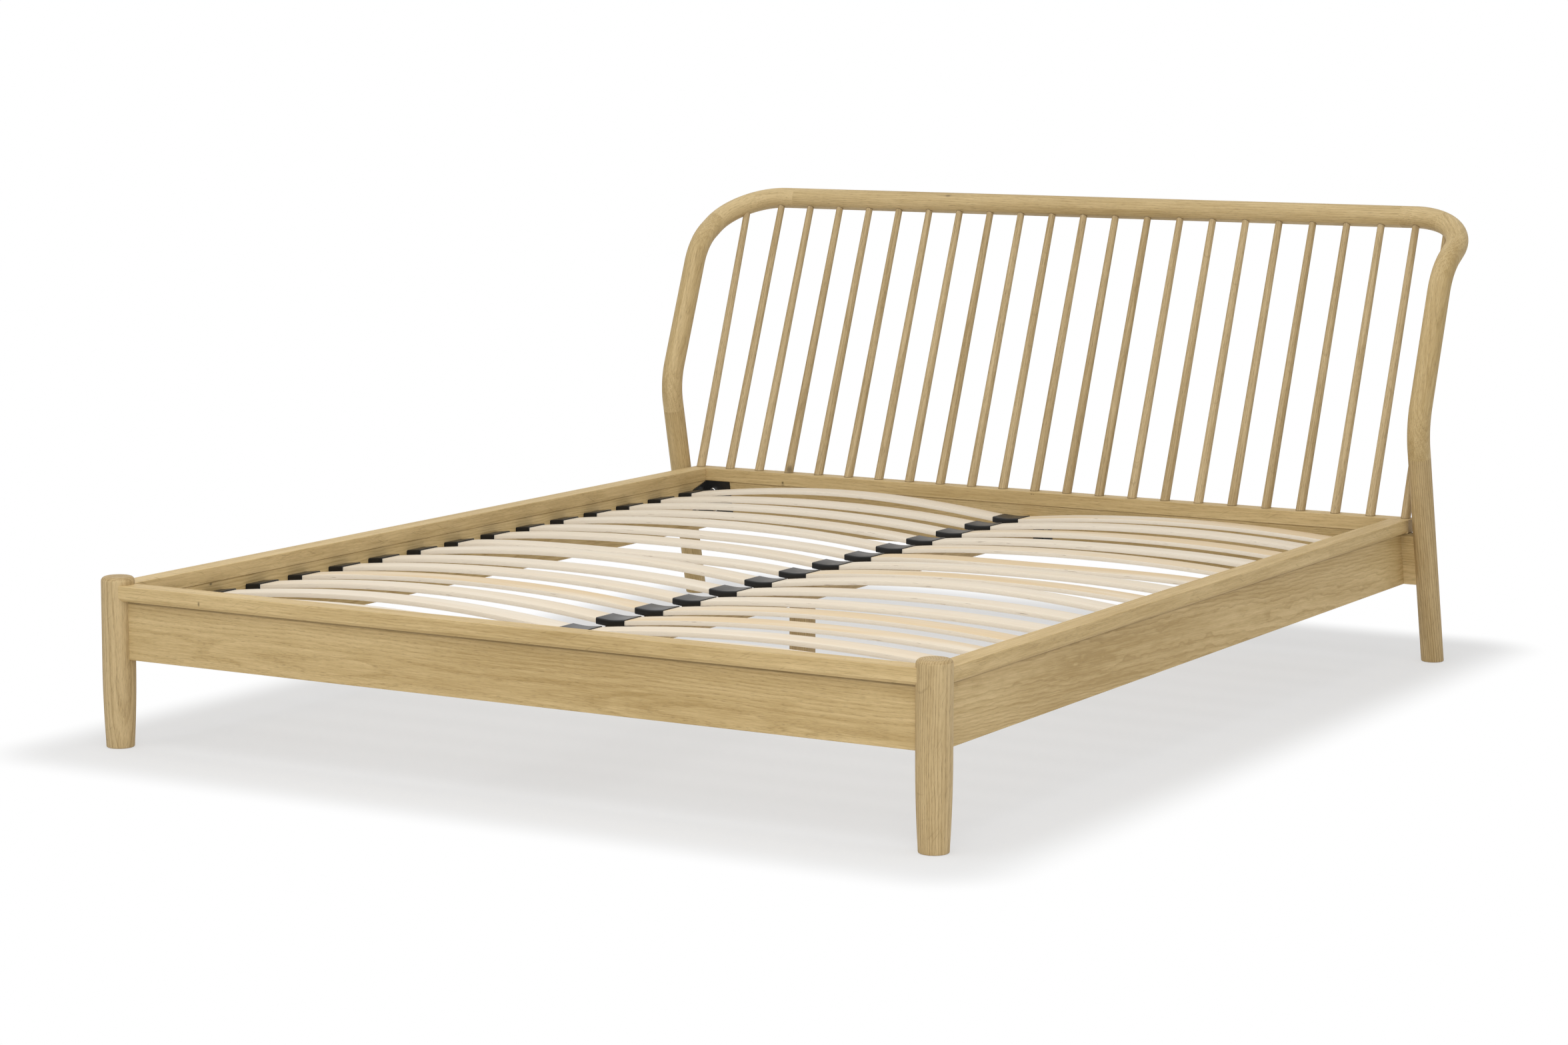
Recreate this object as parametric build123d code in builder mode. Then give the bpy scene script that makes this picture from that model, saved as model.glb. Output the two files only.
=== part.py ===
"""Wooden bed frame with a curved spindle headboard and two columns of sprung slats.

Millimetres, +Z up. The origin is on the floor, at the middle of the frame's box.
The foot end faces -Y, the headboard +Y, and the frame is alike on its -X and +X sides.
"""

import os
from math import asin, atan2, cos, degrees, hypot, radians, sin, sqrt, tan

from build123d import *

# Mattress space between the caps
clear_width = 1621.6
clear_length = 1951.8

# Rails: an upright board with a wider cap lying on it
rail_top = 296.0
board_height = 107.0
cap_thickness = 28.0
cap_width = 41.6
cap_bevel = 5.5
board_thickness = 25.0
board_setback = 1.2  # from a cap's inner edge out to the board's inner face
joint_gap = 0.1  # glue line between wooden pieces

# Front legs
leg_diameter = 60.0
leg_rise = 14.0  # above the caps
leg_setback = 19.2  # from the caps' inner edges out to the leg's axis
leg_foot_diameter = 50.0
leg_taper_drop = 11.0  # from the boards' lower edges down to where the taper starts
leg_crown_radius = 8.5
leg_foot_rounding = 2.5

# Rear legs, and the bends that carry on from them into the top rail
post_diameter = 45.7
post_gap = 7.3  # from a side cap's outer face to the post
post_setback = 14.5  # from the head cap's front edge to the post's axis, under the cap
rear_leg_lean = 12.5
rear_leg_run = 453.8  # straight part below the knee
splice_drop = 17.5  # from the knee's start down to the joint in the post
knee_radius = 150.0
post_lean = 21.2
post_run = 238.5
curl_radius = 131.5
curl_lean = 62.0
curl_run = 25.3
bend_radius = 125.4
bend_stub = 29.0  # straight end of a bend, where the top rail starts

# Spindles
spindle_count = 23
spindle_margin = 44.0  # from a post's axis to the first spindle
spindle_setback = 24.0  # from the head cap's front edge to a spindle's axis
spindle_foot_diameter = 20.0
spindle_top_diameter = 15.0
spindle_seat = 12.0  # depth in the head cap
spindle_offset = 4.0  # how far a spindle's axis passes in front of the axis of the piece it enters
spindle_end_gap = 8.0  # how far short of that axis a spindle ends
spindle_clearance = 0.15

# Slats
slat_rows = 15
slat_foot_margin = 95.8  # from the foot cap to the middle of the first slat
slat_head_margin = 85.0
slat_width = 54.0
slat_thickness = 8.5
slat_rise = 25.0
slat_drop = 55.0  # from the caps' tops down to the underside of a slat's ends
slat_end_gap = 2.0
slat_clearance = 0.4

# Slat pockets on the side boards, and double holders on the centre beam
pocket_depth = 33.0
pocket_wall = 2.2
pin_diameter = 8.0
pin_length = 14.0
pin_spacing = 32.0
pin_clearance = 0.1
holder_length = 60.0
holder_wall = 1.4
holder_web = 3.0
holder_foot = 24.0  # length that rests on the beam
holder_base = 4.0

# Centre beam, its leg and its hangers
beam_width = 40.0
beam_height = 42.0
centre_leg_side = 38.0
centre_leg_shift = 16.0  # from the middle of the mattress space towards the head
hanger_thickness = 2.5
hanger_depth = 40.0
hanger_ear = 24.0
hanger_clearance = 0.3

# Corner brackets
bracket_thickness = 3.0
rear_flange = 62.0
rear_side_flange = 56.0
rear_flange_slope = 15.0
rear_bracket_height = 76.0
front_flange = 30.0
front_corner = 45.0  # length of board that the diagonal plate cuts off
front_bracket_drop = 38.0  # from the caps' undersides
front_bracket_height = 38.0

# Fasteners
dowel_diameter = 10.0
dowel_length = 40.0
dowel_clearance = 0.1
dowel_margin = 22.0  # from a board's edges to the dowels of the foot and head rails
side_dowel_margin = 38.0  # the same for the side rails, which pass those in the legs
foot_cap_dowel_count = 3
foot_cap_dowel_margin = 360.0  # from the foot cap's ends
side_cap_dowel_rows = (2, 6, 11)  # a side cap's dowels are halfway from these slats to the next
screw_diameter = 4.5
screw_length = 20.0
screw_head_diameter = 9.0
screw_head_height = 2.5
screw_inset = 12.0
bolt_diameter = 8.0
bolt_head_diameter = 17.0
bolt_head_height = 6.0
bolt_clearance = 0.2
leg_bolt_bite = 26.0  # depth in the front leg
rail_bolt_bite = 18.0  # depth in the head rail
rail_bolt_inset = 19.0
rail_bolt_drops = (22.0, 60.0)  # from the head cap's underside

# Places across the bed
half_clear = clear_width / 2
board_x = half_clear + board_setback
board_mid_x = board_x + board_thickness / 2
leg_x = half_clear + leg_setback
leg_radius = leg_diameter / 2
post_radius = post_diameter / 2
post_x = half_clear + cap_width + post_gap + post_radius
rail_seam_x = post_x - bend_radius - bend_stub
spindle_pitch = 2 * (post_x - spindle_margin) / (spindle_count - 1)

# Heights
leg_height = rail_top + leg_rise
cap_bottom = rail_top - cap_thickness
rail_bottom = cap_bottom - board_height
leg_taper_height = rail_bottom - leg_taper_drop
board_mid_z = (rail_bottom + cap_bottom) / 2
slat_end_height = rail_top - slat_drop
beam_top = slat_end_height - holder_base
beam_bottom = beam_top - beam_height
front_bracket_top = cap_bottom - front_bracket_drop
front_bracket_bottom = front_bracket_top - front_bracket_height
rear_bracket_bottom = cap_bottom - rear_bracket_height
rail_bolt_heights = [cap_bottom - drop for drop in rail_bolt_drops]
rail_dowel_heights = (rail_bottom + dowel_margin, cap_bottom - dowel_margin)
side_dowel_heights = (rail_bottom + side_dowel_margin, cap_bottom - side_dowel_margin)


def lean_vector(lean):
    """Unit vector that points up and leans back by a number of degrees."""
    return Vector(0, sin(radians(lean)), cos(radians(lean)))


# Straight pieces of the headboard's side line, as vectors from corner to corner
leg_way = lean_vector(-rear_leg_lean)
post_way = lean_vector(post_lean)
curl_way = lean_vector(curl_lean)
knee_tangent = knee_radius * tan(radians(rear_leg_lean + post_lean) / 2)
curl_tangent = curl_radius * tan(radians(curl_lean - post_lean) / 2)
foot_to_knee = leg_way * (rear_leg_run + knee_tangent)
knee_to_curl = post_way * (knee_tangent + post_run + curl_tangent)
curl_to_rail = curl_way * (curl_tangent + curl_run + bend_radius)

# Places along the bed, set so that the origin is at the middle of the box
post_foot_reach = post_setback + cap_bottom * tan(radians(rear_leg_lean))
rail_reach = post_foot_reach + (foot_to_knee + knee_to_curl + curl_to_rail).Y
y_foot = (leg_setback + leg_radius - clear_length - rail_reach - post_radius) / 2
y_head = y_foot + clear_length
leg_y = y_foot - leg_setback
foot_face_y = y_foot - board_setback
foot_board_y = foot_face_y - board_thickness / 2
cap_mid_y = y_head + cap_width / 2
slat_pitch = (clear_length - slat_foot_margin - slat_head_margin) / (slat_rows - 1)
slat_ys = [y_foot + slat_foot_margin + slat_pitch * row for row in range(slat_rows)]
centre_leg_y = y_foot + clear_length / 2 + centre_leg_shift

# Corners of the headboard's side line
foot_point = Vector(0, y_head + post_foot_reach, 0)
splice_point = foot_point + leg_way * (rear_leg_run - splice_drop)
knee_point = foot_point + foot_to_knee
curl_point = knee_point + knee_to_curl
rail_point = curl_point + curl_to_rail


def post_y(z):
    """Axis of the lower post at a height."""
    return foot_point.Y - z * tan(radians(rear_leg_lean))


def head_face_y(z):
    """Front face of the head rail, which leans with the rear legs."""
    return post_y(z) - board_thickness / 2 / cos(radians(rear_leg_lean))


def foot_face(z):
    """Inner face of the foot rail, which is upright."""
    return foot_face_y


def shift_x(point, x):
    return Vector(x, point.Y, point.Z)


# Spindles, each leaning so that it passes just in front of the axis of the piece it enters
spindle_y = y_head + spindle_setback
spindle_xs = [spindle_pitch * (i - (spindle_count - 1) / 2) for i in range(spindle_count)]
rail_spindle_xs = [x for x in spindle_xs if abs(x) < rail_seam_x]


def spindle_target(x):
    """Point on the axis of the top rail, or of a bend near the sides, above a spindle."""
    into_bend = max(0, abs(x) - (post_x - bend_radius))
    drop = bend_radius - sqrt(bend_radius**2 - into_bend**2)
    return shift_x(rail_point - curl_way * drop, x)


def spindle_plane(x):
    """Plane of a spindle's lower end, square to its axis."""
    seat = Vector(x, spindle_y, rail_top)
    rise = spindle_target(x) - seat
    lean = atan2(rise.Y, rise.Z) - asin(spindle_offset / hypot(rise.Y, rise.Z))
    way = lean_vector(degrees(lean))
    return Plane(origin=seat - way * spindle_seat, x_dir=(1, 0, 0), z_dir=way)


def spindle_length(x):
    """Length from the seat in the cap to the end in the top rail or in a bend."""
    plane = spindle_plane(x)
    return (spindle_target(x) - plane.origin).dot(plane.z_dir) - spindle_end_gap


def cut_spindle_bores(xs):
    """Cut the seats of some spindles out of the part being built."""
    for x in xs:
        with Locations(spindle_plane(x)):
            Cone(
                spindle_foot_diameter / 2 + spindle_clearance,
                spindle_top_diameter / 2 + spindle_clearance,
                spindle_length(x),
                align=(Align.CENTER, Align.CENTER, Align.MIN),
                mode=Mode.SUBTRACT,
            )


# Dowel centres: the plane's normal is the dowel's axis
def foot_dowels(side):
    end = side * (leg_x - leg_radius)
    return [Plane(origin=(end, foot_board_y, z), z_dir=(1, 0, 0)) for z in rail_dowel_heights]


def side_dowels(side):
    end = leg_y + leg_radius
    return [Plane(origin=(side * board_mid_x, end, z), z_dir=(0, 1, 0)) for z in side_dowel_heights]


def head_dowels(side):
    end = side * (post_x - post_radius)
    return [Plane(origin=(end, post_y(z), z), z_dir=(1, 0, 0)) for z in rail_dowel_heights]


def splice_dowel(side):
    return [Plane(origin=shift_x(splice_point, side * post_x), x_dir=(1, 0, 0), z_dir=leg_way)]


def top_rail_dowel(side):
    return [Plane(origin=shift_x(rail_point, side * rail_seam_x), z_dir=(1, 0, 0))]


foot_cap_reach = half_clear - foot_cap_dowel_margin
foot_cap_steps = [2 * i / (foot_cap_dowel_count - 1) - 1 for i in range(foot_cap_dowel_count)]
foot_cap_dowels = [
    Plane(origin=(foot_cap_reach * step, foot_board_y, cap_bottom)) for step in foot_cap_steps
]
head_cap_dowels = [
    Plane(origin=(spindle_pitch * step, post_y(cap_bottom), cap_bottom)) for step in (-7.5, -2.5, 2.5, 7.5)
]
centre_leg_dowel = [Plane(origin=(0, centre_leg_y, beam_bottom))]


def side_cap_dowels(side):
    ys = [slat_ys[row] + slat_pitch / 2 for row in side_cap_dowel_rows]
    return [Plane(origin=(side * board_mid_x, y, cap_bottom)) for y in ys]


def cut_dowels(planes):
    with Locations(*planes):
        Cylinder(
            dowel_diameter / 2 + dowel_clearance,
            dowel_length + 2 * dowel_clearance,
            mode=Mode.SUBTRACT,
        )


# Screw and bolt seats: the plane lies on the plate's outer face, with its normal out of the wood
def hanger_screws(face, inward):
    """Seats on a hanger's two ears."""
    z = (beam_bottom + beam_top) / 2
    slope = (face(beam_top) - face(beam_bottom)) / (beam_top - beam_bottom)
    normal = Vector(0, inward, -inward * slope).normalized()
    x = beam_width / 2 + hanger_clearance + hanger_thickness + hanger_ear / 2
    seats = [Vector(way * x, face(z), z) + normal * hanger_thickness for way in (-1, 1)]
    return [Plane(origin=seat, x_dir=(1, 0, 0), z_dir=normal) for seat in seats]


def front_screws_on_foot_board(side):
    x = side * (board_x - front_corner - front_flange / 2)
    y = foot_face_y + bracket_thickness
    heights = (front_bracket_bottom + screw_inset, front_bracket_top - screw_inset)
    return [Plane(origin=(x, y, z), z_dir=(0, 1, 0)) for z in heights]


def front_screws_on_side_board(side):
    x = side * (board_x - bracket_thickness)
    y = foot_face_y + front_corner + front_flange / 2
    heights = (front_bracket_bottom + screw_inset, front_bracket_top - screw_inset)
    return [Plane(origin=(x, y, z), z_dir=(-side, 0, 0)) for z in heights]


def rear_screws(side):
    """Seats on a rear bracket's flange on the side board."""
    x = side * (board_x - bracket_thickness)
    y = head_face_y(cap_bottom) - rear_side_flange + screw_inset
    heights = (rear_bracket_bottom + screw_inset, cap_bottom - rear_flange_slope - screw_inset)
    return [Plane(origin=(x, y, z), z_dir=(-side, 0, 0)) for z in heights]


def leg_bolt_seat(side):
    """Seat on a front bracket's diagonal plate, facing away from the leg."""
    foot = Vector(side * (board_x - front_corner / 2), foot_face_y + front_corner / 2, board_mid_z)
    away = Vector(-side, 1, 0).normalized()
    return [Plane(origin=foot + away * bracket_thickness, z_dir=away)]


def rail_bolt_seats(side):
    """Seats on a rear bracket's flange on the head rail."""
    away = Vector(0, -cos(radians(rear_leg_lean)), -sin(radians(rear_leg_lean)))
    x = side * (board_x - rail_bolt_inset)
    feet = [Vector(x, head_face_y(z), z) for z in rail_bolt_heights]
    return [Plane(origin=foot + away * bracket_thickness, x_dir=(1, 0, 0), z_dir=away) for foot in feet]


leg_bolt_length = bracket_thickness + leg_bolt_bite
leg_bolt_length += (leg_setback - board_setback + front_corner / 2) * sqrt(2) - leg_radius
rail_bolt_length = bracket_thickness + rail_bolt_bite


def cut_shanks(planes, diameter, length):
    """Cut the holes of screws or bolts, from just above their seats downwards."""
    with Locations(*planes):
        with Locations((0, 0, -length)):
            Cylinder(
                diameter / 2,
                length + 1,
                align=(Align.CENTER, Align.CENTER, Align.MIN),
                mode=Mode.SUBTRACT,
            )


def cut_screws(planes):
    cut_shanks(planes, screw_diameter + 2 * bolt_clearance, screw_length + bolt_clearance)


def cut_leg_bolts(side):
    cut_shanks(leg_bolt_seat(side), bolt_diameter + 2 * bolt_clearance, leg_bolt_length + bolt_clearance)


def cut_rail_bolts(side):
    cut_shanks(rail_bolt_seats(side), bolt_diameter + 2 * bolt_clearance, rail_bolt_length + bolt_clearance)


def fastener(diameter, length, head_diameter, head_height):
    """A round-headed screw or bolt, with its seat on the XY plane and its shank below."""
    with BuildPart() as piece:
        Cylinder(head_diameter / 2, head_height, align=(Align.CENTER, Align.CENTER, Align.MIN))
        fillet(piece.edges().group_by(Axis.Z)[-1], head_height / 3)
        Cylinder(diameter / 2, length, align=(Align.CENTER, Align.CENTER, Align.MAX))
    return piece


def group_of(piece, places):
    """A group of like solids, one in each place."""
    with BuildPart() as group:
        with Locations(*places):
            add(piece.part)
    return group


def cut_front_leg(side):
    """Cut a front leg's round out of a board or cap that runs up to it."""
    with Locations((side * leg_x, leg_y, 0)):
        Cylinder(
            leg_radius + joint_gap,
            leg_height,
            align=(Align.CENTER, Align.CENTER, Align.MIN),
            mode=Mode.SUBTRACT,
        )


def save(piece, name):
    piece.part.label = name
    export_step(piece.part, f"parts/{name}.step")


# Front legs: turned, straight beside the rails and tapered below them
def front_leg(side):
    axis_foot = (side * leg_x, leg_y, 0)
    with BuildPart() as leg:
        with BuildSketch(Plane(origin=axis_foot, x_dir=(1, 0, 0), z_dir=(0, -1, 0))):
            with BuildLine():
                foot = Line((0, 0), (leg_foot_diameter / 2, 0))
                taper = TangentArc((leg_radius, leg_taper_height), foot @ 1, tangent=(0, -1))
                Polyline(taper @ 0, (leg_radius, leg_height), (0, leg_height), foot @ 0)
            make_face()
        revolve(axis=Axis(axis_foot, (0, 0, 1)))
        fillet(leg.edges().group_by(Axis.Z)[-1], leg_crown_radius)
        fillet(leg.edges().group_by(Axis.Z)[0], leg_foot_rounding)
        cut_dowels(foot_dowels(side) + side_dowels(side))
        cut_leg_bolts(side)
    return leg


# Rear legs: the lower, straight part of the posts, cut level on the floor
def rear_leg(side):
    start = shift_x(foot_point - leg_way * post_diameter, side * post_x)
    with BuildPart() as leg:
        with BuildSketch(Plane(origin=start, x_dir=(1, 0, 0), z_dir=leg_way)):
            Circle(post_radius)
        extrude(amount=post_diameter + rear_leg_run - splice_drop)
        split(bisect_by=Plane.XY, keep=Keep.TOP)
        fillet(leg.edges().group_by(Axis.Z)[0], leg_foot_rounding)
        cut_dowels(head_dowels(side) + splice_dowel(side))
    return leg


# Headboard bends: one round bar through the knee, the curl and the corner
def headboard_bend(side):
    corners = [splice_point, knee_point, curl_point, rail_point]
    way = [shift_x(corner, side * post_x) for corner in corners]
    way.append(shift_x(rail_point, side * rail_seam_x))
    with BuildPart() as bend:
        with BuildLine():
            path = FilletPolyline(*way, radius=[knee_radius, curl_radius, bend_radius])
        with BuildSketch(Plane(origin=path @ 0, z_dir=path % 0)):
            Circle(post_radius)
        sweep()
        cut_spindle_bores([x for x in spindle_xs if side * x > rail_seam_x])
        cut_dowels(splice_dowel(side) + top_rail_dowel(side))
    return bend


# Side rails: boards cut at their rear ends to the lean of the head rail
def pocket_pins(side):
    z = slat_z(board_x, slat_radius + slat_thickness / 2)
    steps = (-pin_spacing / 2, pin_spacing / 2)
    ys = [y + step for y in slat_ys for step in steps]
    return [Plane(origin=(side * board_x, y, z), z_dir=(side, 0, 0)) for y in ys]


def cut_pins(planes):
    with Locations(*planes):
        Cylinder(
            pin_diameter / 2 + pin_clearance,
            pin_length + pin_clearance,
            align=(Align.CENTER, Align.CENTER, Align.MIN),
            mode=Mode.SUBTRACT,
        )


def side_rail(side):
    with BuildPart() as rail:
        with BuildSketch(Plane.YZ.offset(side * board_x)):
            Polygon(
                (y_foot, rail_bottom),
                (head_face_y(rail_bottom) - joint_gap, rail_bottom),
                (head_face_y(cap_bottom) - joint_gap, cap_bottom),
                (y_foot, cap_bottom),
            )
        extrude(amount=side * board_thickness)
        cut_front_leg(side)
        cut_dowels(side_dowels(side) + side_cap_dowels(side))
        cut_pins(pocket_pins(side))
        cut_screws(front_screws_on_side_board(side) + rear_screws(side))
    return rail


def side_cap(side):
    with BuildPart() as cap:
        with BuildSketch(Plane.XY.offset(cap_bottom)):
            with Locations((side * (half_clear + cap_width / 2), y_foot + clear_length / 2)):
                Rectangle(cap_width, clear_length)
        extrude(amount=cap_thickness)
        lower_edges = cap.edges().filter_by(Axis.Y).group_by(Axis.Z)[0]
        chamfer(lower_edges.sort_by(Axis.X)[0 if side < 0 else -1], cap_bevel)
        cut_front_leg(side)
        cut_dowels(side_cap_dowels(side))
    return cap


# Slats: arcs across each half of the bed, all round one centre on each side
slat_inner_x = holder_web / 2 + slat_end_gap
slat_outer_x = board_x - pocket_wall - slat_end_gap
slat_mid_x = (slat_inner_x + slat_outer_x) / 2
slat_half = (slat_outer_x - slat_inner_x) / 2
slat_radius = (slat_half**2 + slat_rise**2) / (2 * slat_rise)
slat_centre_z = slat_end_height + slat_rise - slat_radius


def slat_z(x, radius):
    """Height of an arc round the slats' centre, at a distance from the bed's middle line."""
    return slat_centre_z + sqrt(radius**2 - (x - slat_mid_x) ** 2)


def arc_band(side, start, end, low, high):
    """Face between two arcs round the slats' centre, in the sketch being built."""
    middle = (start + end) / 2
    with BuildLine() as band:
        under = ThreePointArc(*[(side * x, slat_z(x, low)) for x in (start, middle, end)])
        over = ThreePointArc(*[(side * x, slat_z(x, high)) for x in (start, middle, end)])
        Line(under @ 0, over @ 0)
        Line(under @ 1, over @ 1)
    make_face(band.edges())


def slat(side, y):
    with BuildPart() as piece:
        with BuildSketch(Plane.XZ.offset(-y)):
            arc_band(side, slat_inner_x, slat_outer_x, slat_radius, slat_radius + slat_thickness)
        extrude(amount=slat_width / 2, both=True)
    return piece


slot_low = slat_radius - slat_clearance
slot_high = slat_radius + slat_thickness + slat_clearance
slot_half_width = slat_width / 2 + slat_clearance


def cut_slot(side, start, end):
    with BuildSketch(Plane.XZ) as slot:
        arc_band(side, start, end, slot_low, slot_high)
    extrude(slot.sketch, amount=slot_half_width, both=True, mode=Mode.SUBTRACT)


def slat_pocket(side):
    """A sleeve on the side board that takes one slat end, drawn at Y = 0."""
    mouth = board_x - pocket_depth
    pin_z = slat_z(board_x, slat_radius + slat_thickness / 2)
    with BuildPart() as pocket:
        with BuildSketch(Plane.XZ):
            arc_band(side, mouth, board_x, slot_low - pocket_wall, slot_high + pocket_wall)
        extrude(amount=slot_half_width + pocket_wall, both=True)
        cut_slot(side, mouth - 1, board_x - pocket_wall)
        with BuildSketch(Plane.YZ.offset(side * board_x)):
            with Locations((-pin_spacing / 2, pin_z), (pin_spacing / 2, pin_z)):
                Circle(pin_diameter / 2)
        extrude(amount=side * pin_length)
    return pocket


def slat_holder():
    """A double sleeve on the centre beam that takes the inner ends of a row, drawn at Y = 0."""
    end = holder_length / 2
    foot = holder_foot / 2
    with BuildPart() as holder:
        with BuildSketch(Plane.XZ):
            for side in (-1, 1):
                arc_band(side, 0, end, slot_low - holder_wall, slot_high + holder_wall)
            foot_top = slat_z(foot, slot_low)
            with Locations((0, (beam_top + foot_top) / 2)):
                Rectangle(holder_foot, foot_top - beam_top)
        extrude(amount=slot_half_width + holder_wall, both=True)
        for side in (-1, 1):
            cut_slot(side, holder_web / 2, end + 1)
        with BuildSketch(Plane.XY.offset(beam_top)):
            Circle(pin_diameter / 2)
        extrude(amount=-pin_length)
    return holder


# Beam hangers: open boxes with two ears, screwed to the foot rail and to the head rail
def hanger(face, inward):
    seat = beam_bottom - hanger_clearance
    low = seat - hanger_thickness
    inside = beam_width / 2 + hanger_clearance
    outside = inside + hanger_thickness
    slope = (face(beam_top) - face(low)) / (beam_top - low)
    ear = inward * hanger_thickness * sqrt(1 + slope**2)
    back = face(low) - inward * hanger_depth
    front = face(low) + inward * hanger_depth
    with BuildPart() as piece:
        with BuildSketch(Plane.YZ):
            Polygon((face(low), low), (front, low), (front, beam_top), (face(beam_top), beam_top))
        extrude(amount=outside, both=True)
        with BuildSketch(Plane.YZ):
            Polygon((back, seat), (front, seat), (front, beam_top), (back, beam_top))
        extrude(amount=inside, both=True, mode=Mode.SUBTRACT)
        for way in (-1, 1):
            with BuildSketch(Plane.YZ.offset(way * outside)):
                Polygon(
                    (face(low), low),
                    (face(low) + ear, low),
                    (face(beam_top) + ear, beam_top),
                    (face(beam_top), beam_top),
                )
            extrude(amount=way * hanger_ear)
        cut_screws(hanger_screws(face, inward))
    return piece


# Front brackets: folded plates with a diagonal that the leg bolt pulls on
def front_bracket(side):
    near = foot_face_y
    turn = bracket_thickness * tan(radians(45) / 2)
    points = (
        (board_x - front_corner - front_flange, near),
        (board_x - front_corner, near),
        (board_x, near + front_corner),
        (board_x, near + front_corner + front_flange),
        (board_x - bracket_thickness, near + front_corner + front_flange),
        (board_x - bracket_thickness, near + front_corner + turn),
        (board_x - front_corner - turn, near + bracket_thickness),
        (board_x - front_corner - front_flange, near + bracket_thickness),
    )
    with BuildPart() as piece:
        with BuildSketch(Plane.XY.offset(front_bracket_bottom)):
            Polygon(*[(side * x, y) for x, y in points])
        extrude(amount=front_bracket_top - front_bracket_bottom)
        cut_screws(front_screws_on_foot_board(side) + front_screws_on_side_board(side))
        cut_leg_bolts(side)
    return piece


# Rear brackets: one flange on the leaning head rail, one on the side board
def rear_bracket(side):
    low, high = rear_bracket_bottom, cap_bottom
    depth = bracket_thickness / cos(radians(rear_leg_lean))
    front = head_face_y(high) - rear_side_flange
    with BuildPart() as piece:
        with BuildSketch(Plane.YZ.offset(side * board_x)):
            Polygon(
                (head_face_y(low), low),
                (head_face_y(high), high),
                (head_face_y(high) - depth, high),
                (head_face_y(low) - depth, low),
            )
        extrude(amount=-side * rear_flange)
        with BuildSketch(Plane.YZ.offset(side * board_x)):
            Polygon(
                (head_face_y(low), low),
                (head_face_y(high), high),
                (front, high - rear_flange_slope),
                (front, low),
            )
        extrude(amount=-side * bracket_thickness)
        cut_screws(rear_screws(side))
        cut_rail_bolts(side)
    return piece


def pair_of(first, second):
    """A group of two solids."""
    with BuildPart() as group:
        add(first.part)
        add(second.part)
    return group


os.makedirs("parts", exist_ok=True)
sides = (("left", -1), ("right", 1))

for name, side in sides:
    save(front_leg(side), f"front_leg_{name}")
    save(rear_leg(side), f"rear_leg_{name}")
    save(headboard_bend(side), f"headboard_bend_{name}")
    save(side_rail(side), f"side_rail_{name}")
    save(side_cap(side), f"side_rail_cap_{name}")
    save(group_of(slat_pocket(side), [(0, y, 0) for y in slat_ys]), f"slat_pockets_{name}")
    for row, y in enumerate(slat_ys, start=1):
        save(slat(side, y), f"slat_{name}_{row:02d}")

with BuildPart() as top_rail:
    with BuildSketch(Plane(origin=shift_x(rail_point, -rail_seam_x), z_dir=(1, 0, 0))):
        Circle(post_radius)
    extrude(amount=2 * rail_seam_x)
    cut_spindle_bores(rail_spindle_xs)
    cut_dowels(top_rail_dowel(-1) + top_rail_dowel(1))
save(top_rail, "headboard_top_rail")

with BuildPart() as spindles:
    for x in spindle_xs:
        with Locations(spindle_plane(x)):
            Cone(
                spindle_foot_diameter / 2,
                spindle_top_diameter / 2,
                spindle_length(x),
                align=(Align.CENTER, Align.CENTER, Align.MIN),
            )
save(spindles, "headboard_spindles")

with BuildPart() as head_rail:
    board_depth = board_thickness / cos(radians(rear_leg_lean))
    with BuildSketch(Plane.YZ):
        Polygon(
            (head_face_y(rail_bottom), rail_bottom),
            (head_face_y(rail_bottom) + board_depth, rail_bottom),
            (head_face_y(cap_bottom) + board_depth, cap_bottom),
            (head_face_y(cap_bottom), cap_bottom),
        )
    extrude(amount=post_x, both=True)
    for side in (-1, 1):
        with Locations(Plane(origin=shift_x(foot_point, side * post_x), x_dir=(1, 0, 0), z_dir=leg_way)):
            Cylinder(
                post_radius + joint_gap,
                rear_leg_run,
                align=(Align.CENTER, Align.CENTER, Align.MIN),
                mode=Mode.SUBTRACT,
            )
        cut_dowels(head_dowels(side))
        cut_rail_bolts(side)
    cut_dowels(head_cap_dowels)
    cut_screws(hanger_screws(head_face_y, -1))
save(head_rail, "head_rail")

with BuildPart() as head_cap:
    with BuildSketch(Plane.XY.offset(cap_bottom)):
        with Locations((0, cap_mid_y)):
            Rectangle(clear_width + 2 * cap_width, cap_width)
    extrude(amount=cap_thickness)
    chamfer(head_cap.edges().filter_by(Axis.X).group_by(Axis.Z)[0].sort_by(Axis.Y)[-1], cap_bevel)
    cut_spindle_bores(spindle_xs)
    cut_dowels(head_cap_dowels)
save(head_cap, "head_rail_cap")

with BuildPart() as foot_rail:
    with BuildSketch(Plane.XY.offset(rail_bottom)):
        with Locations((0, foot_board_y)):
            Rectangle(clear_width, board_thickness)
    extrude(amount=cap_bottom - rail_bottom)
    for side in (-1, 1):
        cut_front_leg(side)
        cut_dowels(foot_dowels(side))
        cut_screws(front_screws_on_foot_board(side))
    cut_dowels(foot_cap_dowels)
    cut_screws(hanger_screws(foot_face, 1))
save(foot_rail, "foot_rail")

with BuildPart() as foot_cap:
    with BuildSketch(Plane.XY.offset(cap_bottom)):
        with Locations((0, y_foot - cap_width / 2)):
            Rectangle(clear_width, cap_width)
    extrude(amount=cap_thickness)
    chamfer(foot_cap.edges().filter_by(Axis.X).group_by(Axis.Z)[0].sort_by(Axis.Y)[0], cap_bevel)
    for side in (-1, 1):
        cut_front_leg(side)
    cut_dowels(foot_cap_dowels)
save(foot_cap, "foot_rail_cap")

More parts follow.
